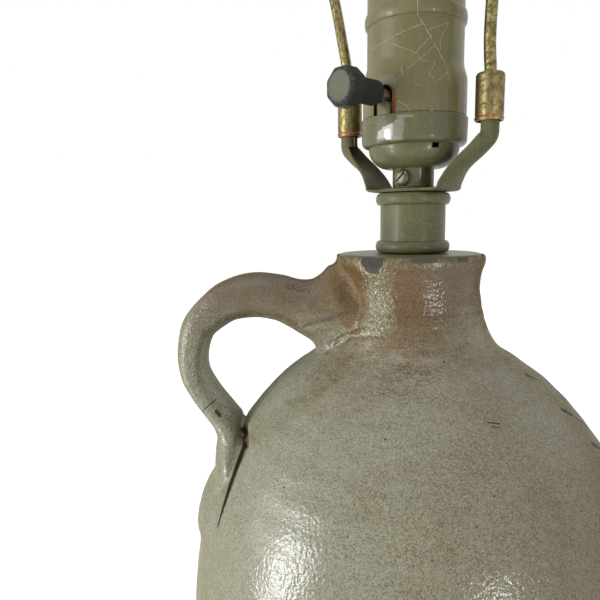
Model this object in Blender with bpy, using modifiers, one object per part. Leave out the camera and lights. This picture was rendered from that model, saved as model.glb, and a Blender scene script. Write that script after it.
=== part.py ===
"""Crock lamp: a stoneware jug fitted as a table lamp, modelled piece by piece.

A thrown one-gallon jug with a pulled strap handle carries the usual lamp fittings in its
mouth: an expanding rubber plug on a threaded nipple, a cap disc over the lip, a spun neck, a
harp saddle and a turn-knob bulb socket. A sprung wire harp hooks into the saddle's channel
arms and is locked there by two sliding ferrules.

Lengths are in metres, +Z is up, and the origin is the centre of the jug's flat base. The
handle points along -X. Heights of the fittings are counted from the top of the cap disc.
"""
import math

import bmesh
import bpy
from mathutils import Matrix, Vector

MM = 0.001

# Clearances, and how the meshes are made
GAP = 0.3 * MM
PRESS_GAP = 0.25 * MM
OVERRUN = 2.0 * MM
SINK = 0.2 * MM
WELD = 0.005 * MM
SHARP_ANGLE = math.radians(38.0)
JUG_STEPS = 38
METAL_STEPS = 26
INNER_STEPS = 20
SMALL_STEPS = 16
SCREW_STEPS = 12

# Jug: thrown stoneware, with its outline given from the lip down
JUG_HEIGHT = 264.0 * MM
LIP_RADIUS = 27.6 * MM
LIP_DEPTH = 6.5 * MM
LIP_FLAT_RADIUS = 26.6 * MM
THROAT_RADIUS = 24.8 * MM
COLLAR_DEPTH = 32.5 * MM
COLLAR_RADIUS = 31.6 * MM
BELLY_DEPTH = 158.5 * MM
BELLY_RADIUS = 84.9 * MM
FOOT_RADIUS = 58.0 * MM
FOOT_ROUNDING = 2.5 * MM
MOUTH_RADIUS = 14.0 * MM
JUG_WALL = 8.5 * MM
JUG_FLOOR = 10.0 * MM
# Share of the lip's depth, and share of the way from the throat's radius to the lip's
LIP_SHARES = ((0.08, 0.85), (0.30, 1.00), (0.62, 0.45))
# Share of the collar's depth below the lip, and share of the way from throat to collar
COLLAR_SHARES = ((0.20, 0.00), (0.38, 0.03), (0.57, 0.15), (0.80, 0.46), (1.00, 1.00))
# Share of the way down from collar to belly, and share of the way out
SHOULDER_SHARES = ((0.048, 0.158), (0.111, 0.356), (0.206, 0.561), (0.325, 0.750), (0.484, 0.905),
                   (0.722, 0.985), (1.000, 1.000))
# Share of the way down from belly to foot, and share of the belly's overhang that is left
HIP_SHARES = ((0.346, 0.874), (0.630, 0.576), (0.848, 0.240))

# Handle: a pulled strap, round-edged, smeared on at the neck and on the shoulder
HANDLE_DROP = 114.0 * MM
HANDLE_STANDOFF = 45.6 * MM
HANDLE_HALF_THICKNESS = 5.6 * MM
HANDLE_HALF_WIDTH = 12.5 * MM
HANDLE_ROUNDNESS = 2.6
HANDLE_SIDES = 14
# Of each station: share of the drop, share of the standoff from the jug's side, share of the
# half thickness, share of the half width, and share of the bend that wraps it round the jug
HANDLE_SHARES = (
    (0.165, -0.105, 2.50, 1.10, 1.00),
    (0.167, 0.030, 2.60, 1.12, 0.80),
    (0.170, 0.120, 2.44, 1.05, 0.45),
    (0.166, 0.250, 2.06, 1.00, 0.15),
    (0.147, 0.375, 1.69, 0.97, 0.00),
    (0.132, 0.540, 1.53, 0.96, 0.00),
    (0.120, 0.725, 1.49, 0.96, 0.00),
    (0.135, 0.930, 1.37, 0.97, 0.00),
    (0.169, 1.065, 1.27, 0.98, 0.00),
    (0.214, 1.152, 1.15, 1.00, 0.00),
    (0.261, 1.152, 1.05, 1.00, 0.00),
    (0.326, 0.993, 0.95, 1.00, 0.00),
    (0.389, 0.777, 0.86, 1.00, 0.00),
    (0.441, 0.553, 0.80, 1.00, 0.00),
    (0.500, 0.320, 0.80, 1.02, 0.10),
    (0.543, 0.158, 0.86, 1.10, 0.35),
    (0.593, 0.028, 0.98, 1.42, 0.80),
    (0.649, -0.030, 0.92, 1.90, 1.00),
    (0.702, -0.075, 0.80, 2.30, 1.00),
    (0.750, -0.080, 0.76, 2.60, 1.00),
    (0.803, -0.056, 0.82, 2.70, 1.00),
    (0.857, -0.050, 0.81, 2.60, 1.00),
    (0.904, -0.066, 0.74, 2.30, 1.00),
    (0.955, -0.092, 0.60, 1.70, 1.00),
)

# Cord hole, drilled through the rear wall near the foot, with its bushing
CORD_HOLE_HEIGHT = 24.0 * MM
CORD_HOLE_RADIUS = 6.35 * MM
BUSHING_BORE = 4.75 * MM
BUSHING_FLANGE = 9.2 * MM
BUSHING_LIP = 2.2 * MM
BUSHING_LENGTH = 6.0 * MM

# Nipple: the running-threaded tube that clamps the fittings to the jug
NIPPLE_RADIUS = 4.9 * MM
NIPPLE_BORE = 3.4 * MM
NIPPLE_REACH_UP = 29.2 * MM
NIPPLE_REACH_DOWN = 37.0 * MM

# Plug: rubber, squeezed outwards in the mouth between two washers
PLUG_LENGTH = 24.0 * MM
PLUG_TAPER = 1.2 * MM
PLUG_WAIST_SHARE = 0.5
WASHER_SHEET = 1.3 * MM
WASHER_RADIUS = 12.6 * MM
NUT_HALF_FLATS = 7.1 * MM
NUT_LENGTH = 5.0 * MM
NUT_SIDES = 6

# Cap disc over the lip
DISC_SHEET = 1.2 * MM
DISC_RADIUS = 27.4 * MM
DISC_ROUNDING = 0.9 * MM

# Neck: a spun tube with a bead at each end
NECK_HEIGHT = 21.7 * MM
NECK_RADIUS = 11.9 * MM
NECK_BEAD_RADIUS = 13.6 * MM
NECK_FOOT_BEAD = 4.4 * MM
NECK_TOP_BEAD = 4.4 * MM
NECK_SHEET = 0.9 * MM

# Harp saddle: a strap that curls into a channel up each side
SADDLE_SHEET = 1.2 * MM
SADDLE_RING_RADIUS = 12.5 * MM
STRAP_SHEET = 1.0 * MM
STRAP_WIDTH = 15.0 * MM
ARM_RADIUS = 3.4 * MM
ARM_SPACING = 55.6 * MM
ARM_TOP = 53.0 * MM
STRAP_BEND = 13.6 * MM
ARM_BEND_HEIGHT = 41.5 * MM
STRAP_ACROSS = 7
# Back line of the strap from its bend to the upright arm: share of the run, share of the rise
STRAP_SHARES = ((0.000, 0.000), (0.114, 0.110), (0.261, 0.283), (0.449, 0.429), (0.682, 0.586),
                (0.875, 0.743), (0.941, 0.814), (0.982, 0.898), (1.000, 1.000))
# Share of the arm's full curl at the same stations, and of the strap's width
CURL_SHARES = (0.02, 0.06, 0.14, 0.28, 0.48, 0.74, 0.88, 0.96, 1.00)
WIDTH_SHARES = (1.32, 1.30, 1.18, 1.09, 1.04, 1.01, 1.00, 1.00, 1.00)
FLAT_CURL_SHARE = 0.002

# Socket cap: a bowl on a threaded hub
HUB_RADIUS = 7.5 * MM
HUB_LENGTH = 7.0 * MM
CAP_SHEET = 0.6 * MM
BOWL_RADIUS = 16.3 * MM
BOWL_HEIGHT = 7.3 * MM
CAP_RADIUS = 19.05 * MM
CAP_RIM = 48.0 * MM
CAP_SHOULDER = 2.2 * MM
CAP_DRAFT = 0.2 * MM
VENT_AZIMUTH = 16.0
VENT_WIDTH = 2.6 * MM
VENT_HEIGHT = 1.5 * MM

# Socket shell: a tube with a flared skirt, a bead and a notch over the switch
SHELL_SHEET = 0.5 * MM
SKIRT_RADIUS = 18.48 * MM
SKIRT_TOP = 60.2 * MM
SHELL_RADIUS = 17.1 * MM
FLARE_TOP = 67.0 * MM
FLARE_SHARES = (0.35, 0.7)
SHELL_BEAD_RADIUS = 18.0 * MM
SHELL_BEAD_HEIGHT = 81.9 * MM
SHELL_BEAD_HALF = 2.3 * MM
SHELL_TOP = 93.0 * MM
SHELL_TUCK = 4.5 * MM
NOTCH_HALF_WIDTH = 4.7 * MM
NOTCH_TOP = 57.8 * MM
NOTCH_TURN = 3.0
TONGUE_WIDTH = 5.0 * MM
TONGUE_TOP = 52.0 * MM
LINER_SHEET = 0.4 * MM
LINER_MARGIN = 1.2 * MM
LINER_NOTCH_HALF = 3.7 * MM

# Socket interior
BODY_RADIUS = 15.3 * MM
BODY_FOOT = 42.5 * MM
BODY_TOP = 62.0 * MM
CHAMBER_RADIUS = 8.6 * MM
CHAMBER_ROOF = 2.2 * MM
SCREW_SHELL_BORE = 13.1 * MM
SCREW_SHELL_SHEET = 0.5 * MM
SCREW_SHELL_HEIGHT = 28.0 * MM
CONTACT_HOLE = 5.2 * MM
CONTACT_WIDTH = 5.0 * MM
CONTACT_SHEET = 0.6 * MM
CONTACT_RISE = 3.6 * MM
CONTACT_LENGTH = 7.0 * MM
RIVET_RADIUS = 1.1 * MM
RIVET_HEAD = 2.0 * MM
RIVET_HEAD_HEIGHT = 0.9 * MM
RIVET_FACE_SHARE = 0.6
RIVET_LENGTH = 3.0 * MM
RIVET_PLACE = 9.2 * MM
TERMINAL_HEAD = 2.9 * MM
TERMINAL_HEAD_HEIGHT = 1.8 * MM
TERMINAL_SHANK = 1.5 * MM
TERMINAL_LENGTH = 2.6 * MM
TERMINAL_SEAT = 12.4 * MM
TERMINAL_HEIGHT = 49.5 * MM

# Switch
KNOB_AZIMUTH = -48.0
KNOB_HEIGHT = 54.8 * MM
SPINDLE_RADIUS = 2.2 * MM
SPINDLE_TAIL = 11.0 * MM
SPINDLE_GRIP = 8.5 * MM
ROTOR_RADIUS = 3.9 * MM
ROTOR_LOBE = 0.55 * MM
ROTOR_LOBES = 4
ROTOR_LENGTH = 6.0 * MM
LEAF_SHEET = 0.5 * MM
LEAF_WIDTH = 4.0 * MM
KNOB_FACE = 39.4 * MM
KNOB_HEAD_LENGTH = 6.5 * MM
KNOB_HALF_FLATS = 6.2 * MM
KNOB_CHAMFER = 1.1 * MM
KNOB_STEM_RADIUS = 4.2 * MM
KNOB_STEM_LENGTH = 11.4 * MM
KNOB_FLUTES = 16
KNOB_FLUTE_DEPTH = 0.22 * MM
KNOB_SIDES = 8

# Set screw through the hub
SET_SCREW_AZIMUTH = -41.0
SET_SCREW_HEAD = 3.1 * MM
SET_SCREW_HEAD_HEIGHT = 1.7 * MM
SET_SCREW_SHANK = 1.5 * MM
SET_SCREW_SLOT = 0.7 * MM
SET_SCREW_TILT = -45.0

# Harp: one sprung wire, hooked into the saddle's arms, with its ferrules and stud
HARP_AZIMUTH = 52.0
WIRE_RADIUS = 2.0 * MM
HARP_FOOT = 40.8 * MM
HARP_TOP = 223.3 * MM
HARP_HALF_WIDTH = 52.0 * MM
HARP_SWAY = 5.0 * MM
HARP_FLAT = 8.0 * MM
# Share of the bulge from foot spacing to half width, and share of the loop's height
HARP_SHARES = ((0.000, 0.000), (0.016, 0.060), (0.070, 0.132), (0.170, 0.231), (0.378, 0.354),
               (0.690, 0.508), (0.935, 0.655), (1.000, 0.765), (0.860, 0.877), (0.440, 0.960),
               (-0.240, 0.996))
HARP_SMOOTHING = 2
FERRULE_RADIUS = 4.7 * MM
FERRULE_SHEET = 0.6 * MM
FERRULE_LENGTH = 15.7 * MM
FERRULE_FOOT = 44.8 * MM
FERRULE_ROUNDING = 1.3 * MM
FERRULE_RING = 0.15 * MM
FERRULE_RING_HEIGHT = 1.2 * MM
FERRULE_PLAY = 0.7 * MM
STUD_BARREL_RADIUS = 4.0 * MM
STUD_BARREL_LENGTH = 10.0 * MM
STUD_SHOULDER_RADIUS = 6.0 * MM
STUD_SHOULDER_HEIGHT = 1.6 * MM
STUD_RADIUS = 3.1 * MM
STUD_LENGTH = 11.0 * MM
STUD_CHAMFER = 0.6 * MM

# Heights that follow: each fitting rests on the one below it, with a gap between the meshes
DISC_TOP = JUG_HEIGHT + GAP + DISC_SHEET
NECK_TOP = GAP + NECK_HEIGHT
SADDLE_FOOT = NECK_TOP + GAP
SADDLE_TOP = SADDLE_FOOT + SADDLE_SHEET
HUB_FOOT = SADDLE_TOP + GAP
BOWL_FOOT = HUB_FOOT + HUB_LENGTH
NIPPLE_HOLE = NIPPLE_RADIUS + GAP
ARM_OFFSET = ARM_SPACING / 2
FERRULE_TOP = FERRULE_FOOT + FERRULE_LENGTH
BODY_CEILING = BODY_TOP - CHAMBER_ROOF


# Scene and materials

def start_scene():
    """Empty the file of objects and make one collection for the parts and one for cutters."""
    for obj in list(bpy.data.objects):
        bpy.data.objects.remove(obj, do_unlink=True)
    made = []
    for name in ("crock_lamp", "cutters"):
        collection = bpy.data.collections.new(name)
        bpy.context.scene.collection.children.link(collection)
        made.append(collection)
    return made


def finish_of(name, colour, roughness, metallic=0.0):
    """A plain Principled material."""
    material = bpy.data.materials.new(name)
    material.use_nodes = True
    shader = material.node_tree.nodes["Principled BSDF"]
    shader.inputs["Base Color"].default_value = (*colour, 1.0)
    shader.inputs["Roughness"].default_value = roughness
    shader.inputs["Metallic"].default_value = metallic
    material.diffuse_color = (*colour, 1.0)
    return material


PARTS, CUTTERS = start_scene()
STONEWARE = finish_of("stoneware", (0.36, 0.33, 0.25), 0.38)
OLIVE_PAINT = finish_of("olive_paint", (0.17, 0.16, 0.10), 0.42)
AGED_BRASS = finish_of("aged_brass", (0.42, 0.32, 0.13), 0.38, 1.0)
ZINC_STEEL = finish_of("zinc_steel", (0.52, 0.52, 0.50), 0.40, 1.0)
BRIGHT_BRASS = finish_of("bright_brass", (0.72, 0.55, 0.24), 0.30, 1.0)
ALUMINIUM = finish_of("aluminium", (0.78, 0.78, 0.78), 0.35, 1.0)
RUBBER = finish_of("rubber", (0.03, 0.03, 0.03), 0.80)
FIBRE = finish_of("fibre", (0.60, 0.24, 0.06), 0.75)
PHENOLIC = finish_of("phenolic", (0.035, 0.035, 0.035), 0.45)
BLACK_PLASTIC = finish_of("black_plastic", (0.03, 0.032, 0.032), 0.40)


# Making and joining meshes

def place(obj, collection, finish=None, parent=None, matrix=None):
    """Link an object to its collection, with its material, parent and local place."""
    collection.objects.link(obj)
    if finish:
        obj.data.materials.append(finish)
    if parent:
        obj.parent = parent
    if matrix:
        obj.matrix_local = matrix
    if collection is CUTTERS:
        obj.hide_render = True
        obj.display_type = "WIRE"
    return obj


def guide(name, location, azimuth=0.0, parent=None, lay_down=False):
    """An empty whose +X looks out at an azimuth from -Y towards +X, or whose +Z does, lying down."""
    empty = bpy.data.objects.new(name, None)
    PARTS.objects.link(empty)
    empty.parent = parent
    turn = Matrix.Rotation(math.radians(azimuth - 90.0), 4, "Z")
    if lay_down:
        turn = turn @ Matrix.Rotation(math.radians(90.0), 4, "Y")
    empty.matrix_local = Matrix.Translation(location) @ turn
    return empty


def smooth_line(points, steps):
    """Points along a smooth curve through the given points, with steps to each stretch."""
    ends = [2 * Vector(points[0]) - Vector(points[1])]
    ends += [Vector(point) for point in points]
    ends.append(2 * Vector(points[-1]) - Vector(points[-2]))
    line = []
    for a, b, c, d in zip(ends, ends[1:], ends[2:], ends[3:]):
        for step in range(steps):
            t = step / steps
            line.append(0.5 * (2 * b + (c - a) * t + (2 * a - 5 * b + 4 * c - d) * t * t
                               + (3 * b - a - 3 * c + d) * t ** 3))
    line.append(Vector(points[-1]))
    return line


def arc(centre, radius, start, end, steps):
    """Points of an arc in the outline plane, by angles in degrees from +X."""
    turns = [math.radians(start + (end - start) * step / steps) for step in range(steps + 1)]
    return [(centre[0] + radius * math.cos(t), centre[1] + radius * math.sin(t)) for t in turns]


def inner_side(outline, sheet):
    """The inner face of a sheet whose outer face runs down the outline, both top to bottom."""
    points = [Vector(point) for point in outline]
    sides = [(b - a).normalized() for a, b in zip(points, points[1:])]
    normals = [Vector((-side.y, side.x)) for side in sides]
    inner = []
    for index, point in enumerate(points):
        before = normals[max(index - 1, 0)]
        after = normals[min(index, len(normals) - 1)]
        middle = (before + after).normalized()
        inner.append(point - middle * (sheet / middle.dot(before)))
    return inner


def sheet_outline(outline, sheet):
    """The closed section of a turned sheet: down its outer face and up its inner face."""
    return [tuple(point) for point in outline] + [tuple(p) for p in reversed(inner_side(outline, sheet))]


def turned(name, outline, finish, steps=METAL_STEPS, parent=None, matrix=None, collection=None):
    """A turned piece. Its outline is closed, unless it starts and ends on the axis."""
    mesh = bpy.data.meshes.new(name)
    last = len(outline) - 1
    edges = [(index, index + 1) for index in range(last)]
    if outline[0][0] > 0 or outline[-1][0] > 0:
        edges.append((last, 0))
    mesh.from_pydata([(radius, 0.0, height) for radius, height in outline], edges, [])
    obj = place(bpy.data.objects.new(name, mesh), collection or PARTS, finish, parent, matrix)
    screw = obj.modifiers.new("turn", "SCREW")
    screw.steps = steps
    screw.render_steps = steps
    screw.use_merge_vertices = True
    screw.merge_threshold = WELD
    screw.use_smooth_shade = True
    return obj


def rod(name, radius, low, high, finish=None, steps=SMALL_STEPS, parent=None, collection=None):
    """A plain round bar along its own Z axis."""
    outline = [(0.0, high), (radius, high), (radius, low), (0.0, low)]
    return turned(name, outline, finish, steps, parent, None, collection)


def block(name, low, high, parent=None, finish=None, collection=None):
    """A box between two corners."""
    mesh = bpy.data.meshes.new(name)
    form = bmesh.new()
    bmesh.ops.create_cube(form, size=1.0)
    size = Vector(high) - Vector(low)
    bmesh.ops.scale(form, vec=size, verts=form.verts)
    bmesh.ops.translate(form, vec=(Vector(high) + Vector(low)) / 2, verts=form.verts)
    form.to_mesh(mesh)
    form.free()
    return place(bpy.data.objects.new(name, mesh), collection or PARTS, finish, parent)


def plate(name, outlines, thickness, finish=None, parent=None, matrix=None, collection=None):
    """A flat plate of the given thickness about its own XY plane; later outlines are holes."""
    curve = bpy.data.curves.new(name, "CURVE")
    curve.dimensions = "2D"
    curve.fill_mode = "BOTH"
    curve.extrude = thickness / 2
    for outline in outlines:
        spline = curve.splines.new("POLY")
        spline.points.add(len(outline) - 1)
        for point, (x, y) in zip(spline.points, outline):
            point.co = (x, y, 0.0, 1.0)
        spline.use_cyclic_u = True
    flat = bpy.data.objects.new(name, curve)
    bpy.context.scene.collection.objects.link(flat)
    return made_mesh(flat, name, finish, parent, matrix, collection or PARTS)


def made_mesh(source, name, finish, parent, matrix, collection):
    """Turn a curve object into a mesh object of the same name, with its caps welded."""
    bpy.context.view_layer.update()
    ready = source.evaluated_get(bpy.context.evaluated_depsgraph_get())
    mesh = bpy.data.meshes.new_from_object(ready)
    mesh.materials.clear()
    form = bmesh.new()
    form.from_mesh(mesh)
    bmesh.ops.remove_doubles(form, verts=form.verts, dist=WELD)
    form.to_mesh(mesh)
    form.free()
    bpy.data.objects.remove(source, do_unlink=True)
    return place(bpy.data.objects.new(name, mesh), collection, finish, parent, matrix)


def lofted(name, rings, finish, parent=None, collection=None):
    """A closed skin over rings of equal count, with a flat cap on the first and the last."""
    mesh = bpy.data.meshes.new(name)
    count = len(rings[0])
    vertices = [point for ring in rings for point in ring]
    faces = [tuple(range(count))[::-1], tuple(range(len(vertices) - count, len(vertices)))]
    for start in range(0, len(vertices) - count, count):
        for side in range(count):
            after = (side + 1) % count
            faces.append((start + side, start + after, start + count + after, start + count + side))
    mesh.from_pydata(vertices, [], faces)
    return place(bpy.data.objects.new(name, mesh), collection or PARTS, finish, parent)


def combine(obj, other, operation):
    """Cut another object out of this one, or join it on, with a live Boolean."""
    boolean = obj.modifiers.new(operation.lower(), "BOOLEAN")
    boolean.operation = operation
    boolean.solver = "EXACT"
    boolean.object = other


def settle(obj):
    """Freeze an object's modifiers, then shade it smooth with its real edges sharp."""
    bpy.context.view_layer.update()
    ready = obj.evaluated_get(bpy.context.evaluated_depsgraph_get())
    mesh = bpy.data.meshes.new_from_object(ready)
    obj.modifiers.clear()
    obj.data = mesh
    mesh.shade_smooth()
    mesh.set_sharp_from_angle(angle=SHARP_ANGLE)


def toothed(radius, depth, teeth, steps):
    """A round outline whose radius dips and rises once for each tooth."""
    outline = []
    for step in range(steps):
        turn = 2 * math.pi * step / steps
        reach = radius + depth * math.cos(teeth * turn)
        outline.append((reach * math.cos(turn), reach * math.sin(turn)))
    return outline


def polygon(half_flats, sides, steps):
    """Points round a regular polygon, by the distance from its middle to its flats."""
    outline = []
    for step in range(steps):
        turn = 2 * math.pi * step / steps
        off_flat = (turn + math.pi / sides) % (2 * math.pi / sides) - math.pi / sides
        reach = half_flats / math.cos(off_flat)
        outline.append((reach * math.cos(turn), reach * math.sin(turn)))
    return outline


def circle(radius, steps):
    """Points round a circle."""
    return toothed(radius, 0.0, 1, steps)


# Jug

def between(start, end, share):
    """The value a share of the way from start to end."""
    return start + (end - start) * share


def jug_side():
    """The jug's outer line, as radius and height, from the lip's edge to the foot."""
    points = [(LIP_FLAT_RADIUS, JUG_HEIGHT)]
    for down, out in LIP_SHARES:
        points.append((between(THROAT_RADIUS, LIP_RADIUS, out), JUG_HEIGHT - LIP_DEPTH * down))
    for down, out in COLLAR_SHARES:
        points.append((between(THROAT_RADIUS, COLLAR_RADIUS, out), JUG_HEIGHT - COLLAR_DEPTH * down))
    for down, out in SHOULDER_SHARES:
        depth = between(COLLAR_DEPTH, BELLY_DEPTH, down)
        points.append((between(COLLAR_RADIUS, BELLY_RADIUS, out), JUG_HEIGHT - depth))
    for down, out in HIP_SHARES:
        depth = between(BELLY_DEPTH, JUG_HEIGHT, down)
        points.append((between(FOOT_RADIUS, BELLY_RADIUS, out), JUG_HEIGHT - depth))
    points.append((FOOT_RADIUS, FOOT_ROUNDING))
    return points


def jug_radius(height):
    """The jug's outer radius at a height above its base."""
    line = smooth_line(jug_side(), 4)
    for above, below in zip(line, line[1:]):
        if below.y <= height <= above.y:
            return between(above.x, below.x, (above.y - height) / (above.y - below.y))
    return line[0].x if height > line[0].y else line[-1].x


def jug_outline():
    """The closed section of the jug, out over the foot and back up inside the wall."""
    side = jug_side()
    plain = len(LIP_SHARES) + len(COLLAR_SHARES) - 1
    outer = [Vector(point) for point in side[:plain]] + smooth_line(side[plain:], 2)
    foot = arc((FOOT_RADIUS - FOOT_ROUNDING, FOOT_ROUNDING), FOOT_ROUNDING, -30.0, -90.0, 2)
    throat = JUG_HEIGHT - COLLAR_DEPTH
    inside = []
    for point in inner_side(outer, JUG_WALL)[::-1]:
        if JUG_FLOOR + JUG_WALL / 2 < point.y < throat and point.x > MOUTH_RADIUS + JUG_WALL / 2:
            inside.append(tuple(point))
    thinned = inside[::3]
    hollow = [(0.0, JUG_FLOOR), (thinned[0][0] - JUG_WALL, JUG_FLOOR)] + thinned
    mouth = [(MOUTH_RADIUS, throat), (MOUTH_RADIUS, JUG_HEIGHT)]
    return [(0.0, 0.0)] + [tuple(p) for p in foot[::-1]] + [tuple(p) for p in outer[::-1]] \
        + mouth[::-1] + hollow[::-1]


def handle_rings():
    """Sections of the strap handle, from inside the neck's wall to the tail on the shoulder."""
    stations = []
    for drop, standoff, thickness, width, wrap in HANDLE_SHARES:
        height = JUG_HEIGHT - HANDLE_DROP * drop
        reach = jug_radius(height) + HANDLE_STANDOFF * standoff
        stations.append((Vector((-reach, 0.0, height)), HANDLE_HALF_THICKNESS * thickness,
                         HANDLE_HALF_WIDTH * width, wrap))
    rings = []
    for index, (centre, thickness, width, wrap) in enumerate(stations):
        before = stations[max(index - 1, 0)][0]
        after = stations[min(index + 1, len(stations) - 1)][0]
        along = (after - before).normalized()
        outward = Vector((along.z, 0.0, -along.x))
        ring = []
        for side in range(HANDLE_SIDES):
            turn = 2 * math.pi * side / HANDLE_SIDES
            across = rounded(math.cos(turn)) * width
            point = centre + outward * (rounded(math.sin(turn)) * thickness)
            bend = math.sqrt(max(point.x ** 2 - wrap * across ** 2, (MOUTH_RADIUS + GAP) ** 2))
            ring.append((-bend, across, point.z))
        rings.append(ring)
    return rings


def rounded(value):
    """A circle's coordinate drawn out towards the corners of a round-edged strap."""
    return math.copysign(abs(value) ** (2 / HANDLE_ROUNDNESS), value)


def make_jug():
    """The stoneware jug: thrown body, handle joined on, and the cord hole drilled behind."""
    jug = turned("jug_body", jug_outline(), STONEWARE, JUG_STEPS)
    handle = lofted("handle_form", handle_rings(), None, None, CUTTERS)
    combine(jug, handle, "UNION")
    rear = cord_guide()
    drill = rod("cord_drill", CORD_HOLE_RADIUS, -JUG_WALL - JUG_FLOOR, OVERRUN, None, SMALL_STEPS,
                rear, CUTTERS)
    combine(jug, drill, "DIFFERENCE")
    settle(jug)
    return rear


def cord_guide():
    """An empty on the rear wall whose +Z points straight out of the jug's side."""
    rise = CORD_HOLE_RADIUS
    low = jug_radius(CORD_HOLE_HEIGHT - rise)
    high = jug_radius(CORD_HOLE_HEIGHT + rise)
    slope = math.atan2(high - low, 2 * rise)
    rear = bpy.data.objects.new("cord_axis", None)
    PARTS.objects.link(rear)
    place_on_side = Matrix.Translation((0.0, jug_radius(CORD_HOLE_HEIGHT), CORD_HOLE_HEIGHT))
    rear.matrix_local = place_on_side @ Matrix.Rotation(-math.pi / 2 - slope, 4, "X")
    return rear


def make_bushing(rear):
    """The cord bushing: a flanged sleeve in the hole at the rear."""
    shank = CORD_HOLE_RADIUS - GAP
    top = GAP + BUSHING_LIP
    edge = BUSHING_LIP / 3
    outline = [(BUSHING_BORE, top), (BUSHING_FLANGE - edge, top), (BUSHING_FLANGE, top - edge),
               (BUSHING_FLANGE, GAP), (shank, GAP), (shank, -BUSHING_LENGTH),
               (BUSHING_BORE, -BUSHING_LENGTH)]
    settle(turned("cord_bushing", outline, BLACK_PLASTIC, SMALL_STEPS, rear))


# Fittings clamped in the jug's mouth

def washer(name, top, outer, parent):
    """A flat steel ring round the nipple, hung down from its top face."""
    foot = top - WASHER_SHEET
    outline = [(NIPPLE_HOLE, top), (outer, top), (outer, foot), (NIPPLE_HOLE, foot)]
    settle(turned(name, outline, ZINC_STEEL, SMALL_STEPS, parent))


def make_clamp(fittings):
    """The nipple, the rubber plug between its washers, and the nut that squeezes it."""
    tube = [(NIPPLE_BORE, NIPPLE_REACH_UP), (NIPPLE_RADIUS, NIPPLE_REACH_UP),
            (NIPPLE_RADIUS, -NIPPLE_REACH_DOWN), (NIPPLE_BORE, -NIPPLE_REACH_DOWN)]
    settle(turned("threaded_nipple", tube, ZINC_STEEL, SMALL_STEPS, fittings))
    top = -DISC_SHEET - GAP
    washer("plug_top_washer", top, WASHER_RADIUS, fittings)
    plug_top = top - WASHER_SHEET - GAP
    plug_foot = plug_top - PLUG_LENGTH
    wide = MOUTH_RADIUS - PRESS_GAP
    plug = [(NIPPLE_HOLE, plug_top), (wide, plug_top),
            (wide, between(plug_top, plug_foot, PLUG_WAIST_SHARE)),
            (wide - PLUG_TAPER, plug_foot), (NIPPLE_HOLE, plug_foot)]
    settle(turned("rubber_plug", plug, RUBBER, SMALL_STEPS, fittings))
    washer_top = plug_foot - GAP
    washer("plug_bottom_washer", washer_top, WASHER_RADIUS - PLUG_TAPER, fittings)
    nut_middle = washer_top - WASHER_SHEET - GAP - NUT_LENGTH / 2
    outlines = [polygon(NUT_HALF_FLATS, NUT_SIDES, NUT_SIDES * 2), circle(NIPPLE_HOLE, SMALL_STEPS)]
    settle(plate("plug_nut", outlines, NUT_LENGTH, ZINC_STEEL, fittings,
                 Matrix.Translation((0.0, 0.0, nut_middle))))


def make_cap_disc(fittings):
    """The cap disc that covers the lip, with its edge rolled over."""
    edge = arc((DISC_RADIUS - DISC_ROUNDING, -DISC_ROUNDING), DISC_ROUNDING, 90.0, 0.0, 2)
    outline = [(NIPPLE_HOLE, 0.0)] + edge + [(DISC_RADIUS, -DISC_SHEET), (NIPPLE_HOLE, -DISC_SHEET)]
    settle(turned("vase_cap", outline, OLIVE_PAINT, METAL_STEPS, fittings))


def bead(radius, crest, middle, half, steps):
    """Points down a rounded bead that stands out from a tube."""
    points = []
    for step in range(steps + 1):
        turn = math.pi * (0.5 - step / steps)
        points.append((between(radius, crest, math.cos(turn)), middle + half * math.sin(turn)))
    return points


def make_neck(fittings):
    """The spun neck, which stands on the cap disc and carries the saddle."""
    top_half = NECK_TOP_BEAD / 2
    foot_half = NECK_FOOT_BEAD / 2
    outline = [(NIPPLE_HOLE, NECK_TOP)]
    outline += bead(NECK_RADIUS, NECK_BEAD_RADIUS, NECK_TOP - top_half, top_half, 4)
    outline += bead(NECK_RADIUS, NECK_BEAD_RADIUS, GAP + foot_half, foot_half, 4)
    bore = NECK_RADIUS - NECK_SHEET
    outline += [(bore, GAP), (bore, NECK_TOP - NECK_SHEET), (NIPPLE_HOLE, NECK_TOP - NECK_SHEET)]
    settle(turned("lamp_neck", outline, OLIVE_PAINT, METAL_STEPS, fittings))


def strap_line():
    """Back line, curl and width of the saddle's strap, from its middle to the top of one arm."""
    foot = SADDLE_FOOT + (SADDLE_SHEET - STRAP_SHEET) / 2
    arm_back = ARM_OFFSET + ARM_RADIUS
    line = [(NIPPLE_HOLE, foot, FLAT_CURL_SHARE, STRAP_WIDTH * WIDTH_SHARES[0])]
    for (out, up), curl, wide in zip(STRAP_SHARES, CURL_SHARES, WIDTH_SHARES):
        line.append((between(STRAP_BEND, arm_back, out), between(foot, ARM_BEND_HEIGHT, up), curl,
                     STRAP_WIDTH * wide))
    line.append((arm_back, ARM_TOP, 1.0, STRAP_WIDTH))
    return line


def strap_ring(back, inward, curl, width):
    """One section of the strap: a sheet curled by a share of its full curl."""
    curve_radius = ARM_RADIUS / curl
    ring = []
    for depth, order in ((0.0, 1), (STRAP_SHEET, -1)):
        side = []
        for step in range(STRAP_ACROSS + 1):
            turn = width * (step / STRAP_ACROSS - 0.5) / curve_radius
            reach = curve_radius - depth
            point = back + inward * (curve_radius - reach * math.cos(turn))
            side.append((point.x, reach * math.sin(turn), point.z))
        ring += side[::order]
    return ring


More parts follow.
